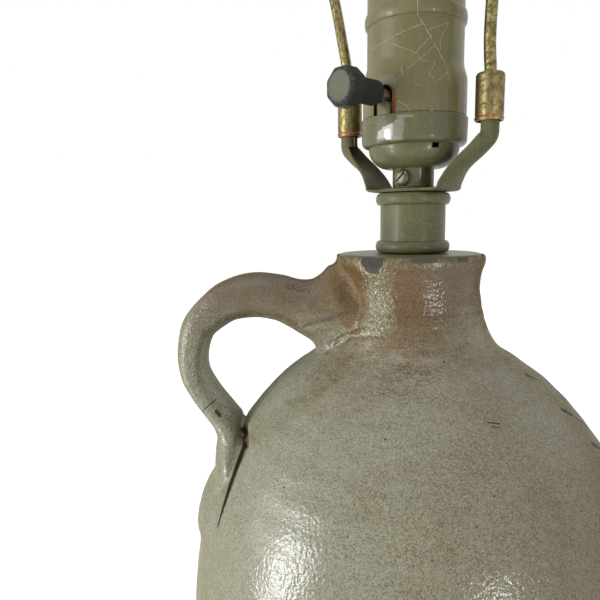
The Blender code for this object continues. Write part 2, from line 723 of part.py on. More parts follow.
def make_saddle(harp_axis):
    """The harp saddle: a ring clamped under the socket and a strap curled into two arms."""
    half = strap_line()
    line = [(-out, height, curl, width) for out, height, curl, width in reversed(half)] + half
    rings = []
    for index, (out, height, curl, width) in enumerate(line):
        before = line[max(index - 1, 0)]
        after = line[min(index + 1, len(line) - 1)]
        along = Vector((after[0] - before[0], 0.0, after[1] - before[1])).normalized()
        inward = Vector((-along.z, 0.0, along.x))
        rings.append(strap_ring(Vector((out, 0.0, height)), inward, curl, width))
    strap = lofted("strap_form", rings, None, harp_axis, CUTTERS)
    ring = [(0.0, SADDLE_TOP), (SADDLE_RING_RADIUS, SADDLE_TOP), (SADDLE_RING_RADIUS, SADDLE_FOOT),
            (0.0, SADDLE_FOOT)]
    saddle = turned("harp_saddle", ring, OLIVE_PAINT, METAL_STEPS, harp_axis)
    combine(saddle, strap, "UNION")
    hole = rod("saddle_hole", NIPPLE_HOLE, SADDLE_FOOT - OVERRUN, SADDLE_TOP + OVERRUN, None,
               SMALL_STEPS, harp_axis, CUTTERS)
    combine(saddle, hole, "DIFFERENCE")
    settle(saddle)


# Socket

def make_socket_cap(fittings):
    """The socket cap: hub, bowl and rim, with its vent, its tongue and the set screw's hole."""
    step = BOWL_FOOT + BOWL_HEIGHT
    bowl_middle = (BOWL_RADIUS - BOWL_HEIGHT, step)
    wall = CAP_RADIUS - CAP_DRAFT
    shoulder = arc((wall - CAP_SHOULDER, step + CAP_DRAFT + CAP_SHOULDER), CAP_SHOULDER, 0.0, -90.0, 2)
    outer = [(CAP_RADIUS, CAP_RIM)] + shoulder + arc(bowl_middle, BOWL_HEIGHT, 0.0, -90.0, 4)
    hub = [(HUB_RADIUS, BOWL_FOOT), (HUB_RADIUS, HUB_FOOT), (NIPPLE_HOLE, HUB_FOOT),
           (NIPPLE_HOLE, BOWL_FOOT + CAP_SHEET)]
    outline = outer + hub + [tuple(point) for point in reversed(inner_side(outer, CAP_SHEET))]
    cap = turned("socket_cap", outline, OLIVE_PAINT, METAL_STEPS, fittings)
    notch_axis = guide("notch_axis", (0.0, 0.0, 0.0), KNOB_AZIMUTH + NOTCH_TURN, fittings)
    tongue_back = CAP_RADIUS - CAP_SHEET - GAP
    tongue_face = SKIRT_RADIUS + SINK
    tongue = block("tongue_form", (tongue_back, -TONGUE_WIDTH / 2, CAP_RIM - SHELL_TUCK),
                   (tongue_face, TONGUE_WIDTH / 2, TONGUE_TOP), notch_axis, None, CUTTERS)
    combine(cap, tongue, "UNION")
    vent_axis = guide("vent_axis", (0.0, 0.0, step), VENT_AZIMUTH, fittings)
    vent = block("vent_form", (BOWL_RADIUS - CAP_SHOULDER, -VENT_WIDTH / 2, -VENT_HEIGHT),
                 (CAP_RADIUS, VENT_WIDTH / 2, CAP_DRAFT), vent_axis, None, CUTTERS)
    combine(cap, vent, "DIFFERENCE")
    hub_middle = (HUB_FOOT + BOWL_FOOT) / 2
    screw_axis = guide("screw_axis", (0.0, 0.0, hub_middle), SET_SCREW_AZIMUTH, fittings, True)
    hole = rod("set_screw_hole", SET_SCREW_SHANK + GAP, 0.0, HUB_RADIUS + OVERRUN, None, SCREW_STEPS,
               screw_axis, CUTTERS)
    combine(cap, hole, "DIFFERENCE")
    settle(cap)
    make_set_screw(screw_axis)


def make_set_screw(screw_axis):
    """The round-headed set screw that bites the nipple through the hub."""
    seat = HUB_RADIUS + GAP
    top = seat + SET_SCREW_HEAD_HEIGHT
    dome = arc((SET_SCREW_HEAD - SET_SCREW_HEAD_HEIGHT, seat), SET_SCREW_HEAD_HEIGHT, 90.0, 0.0, 4)
    outline = [(0.0, top)] + dome
    outline += [(SET_SCREW_SHANK, seat), (SET_SCREW_SHANK, NIPPLE_HOLE), (0.0, NIPPLE_HOLE)]
    screw = turned("set_screw", outline, OLIVE_PAINT, SCREW_STEPS, screw_axis)
    slot = block("set_screw_slot", (-SET_SCREW_HEAD, -SET_SCREW_SLOT / 2, top - SET_SCREW_SLOT),
                 (SET_SCREW_HEAD, SET_SCREW_SLOT / 2, top + OVERRUN), screw_axis, None, CUTTERS)
    slot.rotation_euler.z = math.radians(SET_SCREW_TILT)
    combine(screw, slot, "DIFFERENCE")
    settle(screw)


def notch_form(name, half_width, crown, turn_axis, inside, outside):
    """A cutter through one side of the shell or its liner, with a round top about its crown."""
    outline = [(-crown - y, x) for x, y in arc((0.0, 0.0), half_width, 0.0, 180.0, 8)]
    below = CAP_RIM - SHELL_TUCK - OVERRUN
    outline += [(-below, -half_width), (-below, half_width)]
    middle = Matrix.Translation((0.0, 0.0, (inside + outside) / 2))
    return plate(name, [outline], outside - inside, None, turn_axis, middle, CUTTERS)


def make_shell(fittings):
    """The socket shell over the switch, and the fibre liner inside it, each with its notch."""
    tuck = CAP_RADIUS - CAP_SHEET - GAP
    seam = CAP_RIM + GAP
    flare = [(SHELL_RADIUS, FLARE_TOP)]
    for step in FLARE_SHARES:
        ease = (1 - math.cos(math.pi * step)) / 2
        flare.append((between(SHELL_RADIUS, SKIRT_RADIUS, ease), between(FLARE_TOP, SKIRT_TOP, step)))
    outer = [(SHELL_RADIUS - SHELL_SHEET, SHELL_TOP), (SHELL_RADIUS, SHELL_TOP - SHELL_SHEET)]
    outer += bead(SHELL_RADIUS, SHELL_BEAD_RADIUS, SHELL_BEAD_HEIGHT, SHELL_BEAD_HALF, 3)
    outer += flare + [(SKIRT_RADIUS, SKIRT_TOP), (SKIRT_RADIUS, seam), (tuck, seam - GAP),
                      (tuck, CAP_RIM - SHELL_TUCK)]
    shell = turned("socket_shell", sheet_outline(outer, SHELL_SHEET), OLIVE_PAINT, METAL_STEPS, fittings)
    axis = guide("shell_notch_axis", (0.0, 0.0, 0.0), KNOB_AZIMUTH + NOTCH_TURN, fittings, True)
    combine(shell, notch_form("shell_notch", NOTCH_HALF_WIDTH, NOTCH_TOP - NOTCH_HALF_WIDTH, axis,
                              BODY_RADIUS, CAP_RADIUS + OVERRUN), "DIFFERENCE")
    settle(shell)
    liner_radius = SHELL_RADIUS - SHELL_SHEET - GAP
    bore = liner_radius - LINER_SHEET
    top = SHELL_TOP - LINER_MARGIN
    foot = CAP_RIM - SHELL_TUCK + LINER_MARGIN
    outline = [(bore, top), (liner_radius, top), (liner_radius, foot), (bore, foot)]
    liner = turned("shell_insulator", outline, FIBRE, METAL_STEPS, fittings)
    liner_axis = guide("liner_notch_axis", (0.0, 0.0, 0.0), KNOB_AZIMUTH - NOTCH_TURN, fittings, True)
    combine(liner, notch_form("liner_notch", LINER_NOTCH_HALF, KNOB_HEIGHT, liner_axis,
                              BODY_RADIUS / 2, CAP_RADIUS), "DIFFERENCE")
    settle(liner)


def make_socket_body(fittings, knob_axis):
    """The moulded interior, with its switch chamber, spindle bore, screw pockets and rivet holes."""
    outline = [(0.0, BODY_TOP), (BODY_RADIUS, BODY_TOP), (BODY_RADIUS, BODY_FOOT),
               (CHAMBER_RADIUS, BODY_FOOT), (CHAMBER_RADIUS, BODY_CEILING), (0.0, BODY_CEILING)]
    body = turned("socket_body", outline, PHENOLIC, INNER_STEPS, fittings)
    bore = rod("spindle_bore", SPINDLE_RADIUS + GAP, -SPINDLE_TAIL - GAP, BODY_RADIUS + OVERRUN, None,
               SCREW_STEPS, knob_axis, CUTTERS)
    combine(body, bore, "DIFFERENCE")
    screws = (("hot_terminal_screw", 90.0, BRIGHT_BRASS), ("neutral_terminal_screw", -90.0, ZINC_STEEL))
    for name, turn, metal in screws:
        axis = guide(name + "_axis", (0.0, 0.0, TERMINAL_HEIGHT), KNOB_AZIMUTH + turn, fittings, True)
        pocket = rod(name + "_pocket", TERMINAL_HEAD + GAP, TERMINAL_SEAT, BODY_RADIUS + OVERRUN, None,
                     SCREW_STEPS, axis, CUTTERS)
        combine(body, pocket, "DIFFERENCE")
        end = TERMINAL_SEAT - TERMINAL_LENGTH
        hole = rod(name + "_hole", TERMINAL_SHANK + GAP, end - GAP, TERMINAL_SEAT + OVERRUN, None,
                   SCREW_STEPS, axis, CUTTERS)
        combine(body, hole, "DIFFERENCE")
        seat = TERMINAL_SEAT + GAP
        head = [(0.0, seat + TERMINAL_HEAD_HEIGHT), (TERMINAL_HEAD, seat + TERMINAL_HEAD_HEIGHT),
                (TERMINAL_HEAD, seat), (TERMINAL_SHANK, seat), (TERMINAL_SHANK, end), (0.0, end)]
        settle(turned(name, head, metal, SCREW_STEPS, axis))
    cup = make_screw_shell(fittings)
    for number, side in ((1, 1), (2, -1)):
        axis = bpy.data.objects.new("rivet_axis_" + str(number), None)
        PARTS.objects.link(axis)
        axis.parent = knob_axis.parent
        axis.matrix_local = Matrix.Rotation(math.radians(KNOB_AZIMUTH), 4, "Z") \
            @ Matrix.Translation((RIVET_PLACE * side, 0.0, BODY_TOP))
        hole = rod("rivet_hole_" + str(number), RIVET_RADIUS + GAP, -RIVET_LENGTH - GAP, OVERRUN, None,
                   SCREW_STEPS, axis, CUTTERS)
        combine(body, hole, "DIFFERENCE")
        combine(cup, hole, "DIFFERENCE")
        seat = GAP + SCREW_SHELL_SHEET + GAP
        face = seat + RIVET_HEAD_HEIGHT
        rivet = [(0.0, face), (RIVET_HEAD * RIVET_FACE_SHARE, face), (RIVET_HEAD, seat),
                 (RIVET_RADIUS, seat), (RIVET_RADIUS, -RIVET_LENGTH), (0.0, -RIVET_LENGTH)]
        settle(turned("shell_rivet_" + str(number), rivet, BRIGHT_BRASS, SCREW_STEPS, axis))
    settle(body)
    settle(cup)


def make_screw_shell(fittings):
    """The threaded bulb cup, open at the top, with a hole in its floor for the contact."""
    foot = BODY_TOP + GAP
    floor = foot + SCREW_SHELL_SHEET
    top = foot + SCREW_SHELL_HEIGHT
    outer = SCREW_SHELL_BORE + SCREW_SHELL_SHEET
    outline = [(SCREW_SHELL_BORE, top), (outer, top), (outer, foot), (CONTACT_HOLE, foot),
               (CONTACT_HOLE, floor), (SCREW_SHELL_BORE, floor)]
    return turned("screw_shell", outline, ALUMINIUM, INNER_STEPS, fittings)


def leaf(name, line, sheet, width, finish, parent, matrix):
    """A bent spring leaf: a line given left to right along its upper face, with its thickness below."""
    lower = inner_side(line, sheet)
    outline = [tuple(point) for point in line] + [tuple(point) for point in reversed(lower)]
    standing = matrix @ Matrix.Rotation(math.pi / 2, 4, "X")
    settle(plate(name, [outline], width, finish, parent, standing))


def make_contacts(fittings):
    """The bulb's centre contact, and the switch's leaf under the rotor."""
    half = CONTACT_LENGTH / 2
    land = CONTACT_LENGTH / 4
    crest = CONTACT_RISE
    line = [(-half, CONTACT_SHEET), (-land, crest), (land, crest), (half, CONTACT_SHEET * 2)]
    turned_to_knob = Matrix.Rotation(math.radians(KNOB_AZIMUTH), 4, "Z")
    base = Matrix.Translation((0.0, 0.0, BODY_TOP + GAP)) @ turned_to_knob
    leaf("centre_contact", line, CONTACT_SHEET, CONTACT_WIDTH, BRIGHT_BRASS, fittings, base)
    span = CHAMBER_RADIUS - GAP - LEAF_SHEET
    drop = KNOB_HEIGHT - ROTOR_RADIUS - ROTOR_LOBE - GAP
    bow = LEAF_SHEET * 2
    line = [(-span, -bow), (-span / 2, 0.0), (span / 2, 0.0), (span, -bow)]
    across = Matrix.Translation((0.0, 0.0, drop)) @ turned_to_knob
    leaf("switch_contact", line, LEAF_SHEET, LEAF_WIDTH, BRIGHT_BRASS, fittings, across)


def make_switch(knob_axis):
    """The turning parts of the switch: knob, spindle and lobed rotor, all on one axis."""
    stem_end = KNOB_FACE - KNOB_HEAD_LENGTH - KNOB_STEM_LENGTH
    grip = stem_end + SPINDLE_GRIP
    spindle = rod("switch_spindle", SPINDLE_RADIUS, -SPINDLE_TAIL, grip, ZINC_STEEL, SCREW_STEPS, knob_axis)
    settle(spindle)
    bore = SPINDLE_RADIUS + GAP
    lobes = toothed(ROTOR_RADIUS, ROTOR_LOBE, ROTOR_LOBES, ROTOR_LOBES * 8)
    settle(plate("switch_rotor", [lobes, circle(bore, SCREW_STEPS)], ROTOR_LENGTH, PHENOLIC, knob_axis))
    steps = KNOB_FLUTES * 2
    stem = toothed(KNOB_STEM_RADIUS, KNOB_FLUTE_DEPTH, KNOB_FLUTES, steps)
    head = polygon(KNOB_HALF_FLATS, KNOB_SIDES, steps)
    face = polygon(KNOB_HALF_FLATS - KNOB_CHAMFER, KNOB_SIDES, steps)
    head_back = KNOB_FACE - KNOB_HEAD_LENGTH
    levels = [(circle(bore, steps), grip + GAP), (circle(bore, steps), stem_end), (stem, stem_end),
              (stem, head_back), (face, head_back), (head, head_back + KNOB_CHAMFER / 2),
              (head, KNOB_FACE - KNOB_CHAMFER), (face, KNOB_FACE)]
    rings = [[(x, y, height) for x, y in outline] for outline, height in levels]
    settle(lofted("turn_knob", rings, BLACK_PLASTIC, knob_axis))


# Harp

def harp_sway(height):
    """How far the loop leans to its left at a height: nothing at the feet and at the crown."""
    share = (height - FERRULE_TOP) / (HARP_TOP - FERRULE_TOP)
    return -HARP_SWAY * math.sin(math.pi * min(max(share, 0.0), 1.0))


def harp_line():
    """The wire's middle line in the harp's plane, from the left foot over the crown to the right."""
    points = []
    for bulge, rise in HARP_SHARES:
        points.append((between(ARM_OFFSET, HARP_HALF_WIDTH, bulge), between(FERRULE_TOP, HARP_TOP, rise)))
    points.append((HARP_FLAT, HARP_TOP))
    leg = [(ARM_OFFSET, HARP_FOOT)] + [tuple(point) for point in smooth_line(points, HARP_SMOOTHING)]
    left = [(harp_sway(height) - out, height) for out, height in leg]
    right = [(harp_sway(height) + out, height) for out, height in reversed(leg)]
    return left + right


def make_harp(harp_axis):
    """The harp's wire loop, with the barrel and threaded stud that carry a shade."""
    line = harp_line()
    curve = bpy.data.curves.new("harp_line", "CURVE")
    curve.dimensions = "3D"
    curve.bevel_depth = WIRE_RADIUS
    curve.bevel_resolution = 2
    curve.use_fill_caps = True
    spline = curve.splines.new("POLY")
    spline.points.add(len(line) - 1)
    for point, (out, height) in zip(spline.points, line):
        point.co = (out, 0.0, height, 1.0)
    source = bpy.data.objects.new("harp_line", curve)
    bpy.context.scene.collection.objects.link(source)
    settle(made_mesh(source, "harp_wire", AGED_BRASS, harp_axis, None, PARTS))
    shoulder_foot = HARP_TOP + STUD_BARREL_RADIUS - STUD_SHOULDER_HEIGHT / 2
    shoulder_top = shoulder_foot + STUD_SHOULDER_HEIGHT
    tip = shoulder_top + STUD_LENGTH
    root = HARP_TOP + WIRE_RADIUS + GAP * 2
    outline = [(0.0, tip), (STUD_RADIUS - STUD_CHAMFER, tip), (STUD_RADIUS, tip - STUD_CHAMFER),
               (STUD_RADIUS, shoulder_top), (STUD_SHOULDER_RADIUS, shoulder_top),
               (STUD_SHOULDER_RADIUS, shoulder_foot), (STUD_RADIUS, shoulder_foot),
               (STUD_RADIUS, root), (0.0, root)]
    stud = turned("finial_stud", outline, AGED_BRASS, SMALL_STEPS, harp_axis)
    crown = bpy.data.objects.new("crown_axis", None)
    PARTS.objects.link(crown)
    crown.parent = harp_axis
    crown.matrix_local = Matrix.Translation((0.0, 0.0, HARP_TOP)) @ Matrix.Rotation(math.pi / 2, 4, "Y")
    half = STUD_BARREL_LENGTH / 2
    barrel = rod("barrel_form", STUD_BARREL_RADIUS, -half, half, None, SMALL_STEPS, crown, CUTTERS)
    combine(stud, barrel, "UNION")
    bore = rod("barrel_bore", WIRE_RADIUS + GAP, -half - OVERRUN, half + OVERRUN, None, SCREW_STEPS,
               crown, CUTTERS)
    combine(stud, bore, "DIFFERENCE")
    settle(stud)


def make_ferrules(harp_axis):
    """The two ferrules that slide down the wire and lock it into the saddle's arms."""
    bore = FERRULE_RADIUS - FERRULE_SHEET
    hole = WIRE_RADIUS + FERRULE_PLAY
    ring = FERRULE_RADIUS + FERRULE_RING
    ring_top = FERRULE_FOOT + FERRULE_RING_HEIGHT
    corner = FERRULE_ROUNDING
    outline = [(hole, FERRULE_TOP)]
    outline += arc((FERRULE_RADIUS - corner, FERRULE_TOP - corner), corner, 90.0, 0.0, 3)
    outline += [(FERRULE_RADIUS, ring_top + FERRULE_RING), (ring, ring_top), (ring, FERRULE_FOOT),
                (bore, FERRULE_FOOT), (bore, FERRULE_TOP - corner),
                (FERRULE_RADIUS - corner, FERRULE_TOP - FERRULE_SHEET), (hole, FERRULE_TOP - FERRULE_SHEET)]
    for name, side in (("left_ferrule", -1), ("right_ferrule", 1)):
        shift = Matrix.Translation((ARM_OFFSET * side, 0.0, 0.0))
        settle(turned(name, outline, AGED_BRASS, SMALL_STEPS, harp_axis, shift))


# The lamp

def make_lamp():
    """Put the lamp together from the table up."""
    rear = make_jug()
    make_bushing(rear)
    fittings = bpy.data.objects.new("fittings_axis", None)
    PARTS.objects.link(fittings)
    fittings.location = (0.0, 0.0, DISC_TOP)
    harp_axis = guide("harp_axis", (0.0, 0.0, 0.0), HARP_AZIMUTH, fittings)
    knob_axis = guide("knob_axis", (0.0, 0.0, KNOB_HEIGHT), KNOB_AZIMUTH, fittings, True)
    make_clamp(fittings)
    make_cap_disc(fittings)
    make_neck(fittings)
    make_saddle(harp_axis)
    make_socket_cap(fittings)
    make_shell(fittings)
    make_socket_body(fittings, knob_axis)
    make_contacts(fittings)
    make_switch(knob_axis)
    make_harp(harp_axis)
    make_ferrules(harp_axis)


make_lamp()
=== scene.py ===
"""Looks of a crock lamp: a salt-glazed stoneware jug fitted with a neck, a harp saddle,
a turn-knob bulb socket and a sprung harp. The sections follow the lamp from the table up.
Lengths are in metres; heights of the fittings are counted from the top of the cap disc."""
import math

import bmesh
import bpy
import numpy as np
from mathutils import Matrix, Vector, bvhtree, kdtree, noise


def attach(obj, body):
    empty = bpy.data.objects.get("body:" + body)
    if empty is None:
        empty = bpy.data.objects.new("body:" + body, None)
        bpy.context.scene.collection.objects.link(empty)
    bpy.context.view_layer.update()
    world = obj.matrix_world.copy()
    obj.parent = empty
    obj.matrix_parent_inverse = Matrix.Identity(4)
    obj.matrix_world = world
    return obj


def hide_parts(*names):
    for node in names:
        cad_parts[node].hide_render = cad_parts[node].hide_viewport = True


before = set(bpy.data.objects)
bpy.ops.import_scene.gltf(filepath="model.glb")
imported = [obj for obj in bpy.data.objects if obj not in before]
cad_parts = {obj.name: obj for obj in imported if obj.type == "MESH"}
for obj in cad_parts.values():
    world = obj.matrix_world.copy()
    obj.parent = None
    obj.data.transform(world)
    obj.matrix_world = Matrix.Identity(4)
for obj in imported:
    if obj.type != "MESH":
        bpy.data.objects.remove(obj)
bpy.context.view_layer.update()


# Camera. It stands a hand's length in front of the lamp, level with the cap disc, and looks a
# little down, so that the jug's foot and the harp's crown are out of the picture.
MM = 0.001
LENS = 34.8
PITCH = math.radians(7.786)
ROLL = math.radians(-0.646)
EYE = (-42.304 * MM, -218.263 * MM, 277.876 * MM)

ahead = Vector((0.0, math.cos(PITCH), -math.sin(PITCH)))
across = Vector((1.0, 0.0, 0.0))
upward = across.cross(ahead)
level_across = across * math.cos(ROLL) + upward * math.sin(ROLL)
level_upward = upward * math.cos(ROLL) - across * math.sin(ROLL)
view = Matrix((level_across, level_upward, -ahead)).transposed().to_4x4()
view.translation = EYE
camera = bpy.data.objects.new("camera", bpy.data.cameras.new("camera"))
camera.data.lens = LENS
camera.data.sensor_width = 36.0
camera.data.clip_start = 0.01
camera.matrix_world = view
bpy.context.scene.collection.objects.link(camera)
bpy.context.scene.camera = camera
bpy.context.scene.view_settings.view_transform = "Standard"


# Studio: a white sweep under plain soft light. A tall window on the left gives the long
# highlights and a narrower one on the right the small ones. The room and a broad lamp behind
# the jug fill the rest.
def operator(operation, swapped=False):
    """A method of Value that adds one Math node."""
    def method(self, other):
        return self.finish.maths(operation, *((other, self) if swapped else (self, other)))
    return method


class Value:
    """A number, colour or vector that varies over a surface. Maths on it adds Math nodes."""

    def __init__(self, finish, socket):
        self.finish, self.socket = finish, socket

    def __abs__(self):
        return self.finish.maths("ABSOLUTE", self)

    __add__ = __radd__ = operator("ADD")
    __mul__ = __rmul__ = operator("MULTIPLY")
    __sub__, __rsub__ = operator("SUBTRACT"), operator("SUBTRACT", swapped=True)
    __truediv__, __rtruediv__ = operator("DIVIDE"), operator("DIVIDE", swapped=True)
    __pow__, __rpow__ = operator("POWER"), operator("POWER", swapped=True)


class Finish:
    """The nodes of one material or of the world."""

    def __init__(self, name, owner=None):
        self.owner = owner or bpy.data.materials.new(name)
        self.owner.use_nodes = True
        self.nodes = self.owner.node_tree.nodes
        self.nodes.clear()

    def node(self, kind, settings=None, inputs=None, output=0):
        """Add a node, set it, fill its sockets with values or links, and give one output."""
        node = self.nodes.new("ShaderNode" + kind)
        for name, value in (settings or {}).items():
            setattr(node, name, value)
        for name, value in (inputs or {}).items():
            socket = node.inputs[name] if isinstance(name, int) else \
                next(s for s in node.inputs if name in (s.identifier, s.name))
            if isinstance(value, Value):
                self.owner.node_tree.links.new(value.socket, socket)
            else:
                wide = socket.type == "RGBA" and len(value) == 3
                socket.default_value = (*value, 1.0) if wide else value
        if output is None:
            return None
        found = node.outputs[output] if isinstance(output, int) else \
            next(s for s in node.outputs if output in (s.identifier, s.name))
        return Value(self, found)

    def maths(self, operation, first, second=0.0):
        """One Math node."""
        return self.node("Math", {"operation": operation}, {0: first, 1: second})


SWEEP_HALF = 6.0
SWEEP_WHITE = 0.82
ROOM_GLOW = 0.36
WINDOW = -69.0
SLIT = 28.0
# Of each lamp: azimuth from the front, distance, height, its width and height, the height that
# it points at, its watts, and whether gloss shows it
LAMPS = {
    "window": (WINDOW, 1.5, 0.27, 0.32, 0.46, 0.25, 6.0, True),
    "window_foot": (WINDOW, 0.5, 0.078, 0.105, 0.14, 0.15, 0.50, True),
    "curtain": (WINDOW - 8.0, 1.9, 0.50, 1.4, 0.9, 0.25, 8.5, True),
    "slit": (SLIT, 0.7, 0.130, 0.08, 0.24, 0.130, 1.00, True),
    "ceiling": (0.0, 0.3, 2.0, 1.6, 1.6, 0.2, 4.6, True),
    "rear_fill": (150.0, 1.9, 0.9, 1.8, 1.4, 0.2, 13.0, False)}


def viewer_ray(finish):
    """One for camera, mirror and glass rays, and nothing for the rays of light."""
    kinds = [finish.node("LightPath", output="Is " + kind + " Ray")
             for kind in ("Camera", "Glossy", "Transmission")]
    return finish.maths("MINIMUM", kinds[0] + kinds[1] + kinds[2], 1.0)


world = bpy.data.worlds.new("room")
bpy.context.scene.world = world
room = Finish("room", world)
glow = room.node("Background", {}, {"Color": (1.0, 1.0, 1.0),
                                    "Strength": viewer_ray(room) * (1.0 - ROOM_GLOW) + ROOM_GLOW})
room.node("OutputWorld", {}, {"Surface": glow}, None)

sweep_mesh = bpy.data.meshes.new("sweep")
sweep_mesh.from_pydata([(x * SWEEP_HALF, y * SWEEP_HALF, 0.0) for x, y in
                        ((-1, -1), (1, -1), (1, 1), (-1, 1))], [], [(0, 1, 2, 3)])
sweep = bpy.data.objects.new("sweep", sweep_mesh)
bpy.context.scene.collection.objects.link(sweep)
paper = Finish("sweep_paper")
lit = paper.node("BsdfDiffuse", {}, {"Color": (0.62, 0.62, 0.61)})
lift = paper.node("Emission", {}, {"Color": (1.0, 1.0, 1.0), "Strength": viewer_ray(paper) * SWEEP_WHITE})
paper.node("OutputMaterial", {}, {"Surface": paper.node("AddShader", {}, {0: lit, 1: lift})}, None)
sweep_mesh.materials.append(paper.owner)

for name, (azimuth, distance, height, wide, tall, aim, watts, in_gloss) in LAMPS.items():
    light = bpy.data.lights.new(name, "AREA")
    light.shape = "RECTANGLE"
    light.size, light.size_y, light.energy = wide, tall, watts
    lamp = bpy.data.objects.new(name, light)
    turn = math.radians(azimuth)
    stand = Vector((math.sin(turn) * distance, -math.cos(turn) * distance, height))
    lamp.matrix_world = Matrix.Translation(stand) @ \
        (Vector((0.0, 0.0, aim)) - stand).to_track_quat("-Z", "Y").to_matrix().to_4x4()
    lamp.visible_camera, lamp.visible_glossy = False, in_gloss
    bpy.context.scene.collection.objects.link(lamp)


# Jug: a one-gallon crock thrown in stoneware, with a pulled strap handle pressed on at the
# neck and smeared down on to the shoulder, then salt-glazed grey-green and speckled brown.
JUG_SIDE = ((26.35, 264.75), (26.7, 265.0), (27.15, 264.9), (27.45, 264.4), (27.55, 263.5), (27.5, 262.4),
            (27.2, 261.2), (26.7, 259.8), (26.2, 258.2), (25.75, 256.3), (25.3, 254.0), (25.05, 251.65),
            (25.82, 245.47), (27.93, 238.0), (31.6, 231.5), (40.02, 225.45),
            (50.57, 217.51), (61.5, 205.54), (71.58, 190.55), (79.84, 170.52), (84.1, 140.53),
            (84.9, 105.5), (81.51, 69.0), (73.49, 39.03), (64.46, 16.04), (58.0, 2.5),
            (57.3, 0.75), (55.5, 0.0))
JUG_INSIDE = ((14.0, 231.5), (22.04, 230.55), (35.21, 218.45), (49.79, 206.23), (64.12, 186.45),
              (74.02, 155.24), (76.4, 105.78), (69.64, 55.38), (56.68, 19.47), (48.18, 10.0))
JUG_TURNS = np.radians(np.concatenate([np.arange(-190.0, -135.0, 0.5), np.arange(-135.0, 170.0, 1.25)]))
LIP_TOP = 264.0 * MM
LIP_SHIFT = 1.1 * MM
DISC_TOP = 265.5 * MM
# Of each station down the handle: place outwards and up, half thickness, half width, wrap
HANDLE = (
    (-21.1, 244.4, 18.20, 14.8, 1.00), (-28.0, 244.4, 18.20, 14.6, 0.85), (-30.4, 244.0, 17.90, 13.8, 0.60),
    (-32.6, 243.0, 15.80, 13.2, 0.40), (-36.5, 243.3, 12.80, 12.6, 0.15), (-40.5, 245.1, 10.60, 12.2, 0.05),
    (-44.5, 247.0, 9.20, 12.1, 0.0), (-49.9, 249.2, 8.50, 12.0, 0.0),
    (-58.2, 250.3, 8.34, 12.0, 0.0), (-67.7, 248.6, 7.67, 12.1, 0.0), (-74.5, 244.7, 7.11, 12.2, 0.0),
    (-79.9, 239.6, 6.44, 12.5, 0.0), (-82.1, 234.2, 5.88, 12.5, 0.0), (-83.3, 226.8, 5.32, 12.5, 0.0),
    (-82.4, 219.9, 4.90, 12.5, 0.0), (-79.3, 213.6, 4.70, 12.5, 0.0), (-75.1, 207.6, 4.60, 12.8, 0.10),
    (-71.3, 202.1, 4.82, 13.8, 0.35), (-69.4, 196.4, 5.49, 17.8, 0.80), (-70.5, 190.0, 5.15, 23.8, 1.0),
    (-71.5, 184.0, 4.48, 28.7, 1.0), (-73.6, 178.5, 4.26, 32.5, 1.0), (-76.7, 172.5, 4.59, 33.8, 1.0),
    (-78.5, 166.3, 4.54, 32.5, 1.0), (-78.7, 160.9, 4.14, 28.7, 1.0), (-78.4, 155.1, 3.36, 21.2, 1.0))
HANDLE_ROUND = 56
HANDLE_CORNER = 2.6
HANDLE_ROOT = 14.4
CORD_HOLE = 6.35 * MM
CORD_PLACE = Vector((0.0, 67.8, 24.0)) * MM
CORD_AXIS = Vector((0.0, 0.9246, -0.3809))


def smooth(points, parts):
    """Rows along a Catmull-Rom curve through the given rows of numbers."""
    rows = np.array(points, float)
    rows = np.vstack([2 * rows[0] - rows[1], rows, 2 * rows[-1] - rows[-2]])
    out = []
    for a, b, c, d in zip(rows, rows[1:], rows[2:], rows[3:]):
        for t in np.arange(parts) / parts:
            out.append(0.5 * (2 * b + (c - a) * t + (2 * a - 5 * b + 4 * c - d) * t * t
                              + (3 * b - a - 3 * c + d) * t ** 3))
    return np.array(out + [rows[-2]])


def made(name, vertices, faces, matrix=None):
    """A smooth-shaded object from vertices and faces, with its normals outwards."""
    mesh = bpy.data.meshes.new(name)
    mesh.from_pydata([tuple(v) for v in vertices], [], [tuple(f) for f in faces])
    work = bmesh.new()
    work.from_mesh(mesh)
    bmesh.ops.recalc_face_normals(work, faces=work.faces)
    work.to_mesh(mesh)
    work.free()
    if matrix:
        mesh.transform(matrix)
    mesh.shade_smooth()
    obj = bpy.data.objects.new(name, mesh)
    bpy.context.scene.collection.objects.link(obj)
    return obj


def turned(name, line, turns, closed=True, matrix=None, pitch=1.0, deep=0.0):
    """A turned piece, by a count or list of turns. A line that isn't closed starts and ends on the
    axis, and a point's third number is its share of a thread's depth."""
    vertices, rings = [], []
    turns = np.arange(turns) * math.tau / turns if isinstance(turns, int) else turns
    rounds = len(turns)
    for radius, height, *share in line:
        if radius < 1e-7:
            rings.append([len(vertices)] * rounds)
            vertices.append((0.0, 0.0, height))
            continue
        rings.append(list(range(len(vertices), len(vertices) + rounds)))
        for turn in turns:
            thread = deep * share[0] * math.cos(math.tau * height / pitch - turn) if share else 0.0
            vertices.append(((radius + thread) * math.cos(turn), (radius + thread) * math.sin(turn), height))
    faces = []
    for one, two in zip(rings, rings[1:] + ([rings[0]] if closed else [])):
        for k in range(rounds):
            corners = [one[k], one[(k + 1) % rounds], two[(k + 1) % rounds], two[k]]
            faces.append(list(dict.fromkeys(corners)))
    return made(name, vertices, faces, matrix)


def lofted(name, rings, matrix=None):
    """A closed skin over rings of equal count, capped at both ends."""
    count = len(rings[0])
    vertices = [point for ring in rings for point in ring]
    faces = [list(range(count)), list(range(len(vertices) - count, len(vertices)))]
    for start in range(0, len(vertices) - count, count):
        for k in range(count):
            after = (k + 1) % count
            faces.append((start + k, start + after, start + count + after, start + count + k))
    return made(name, vertices, faces, matrix)


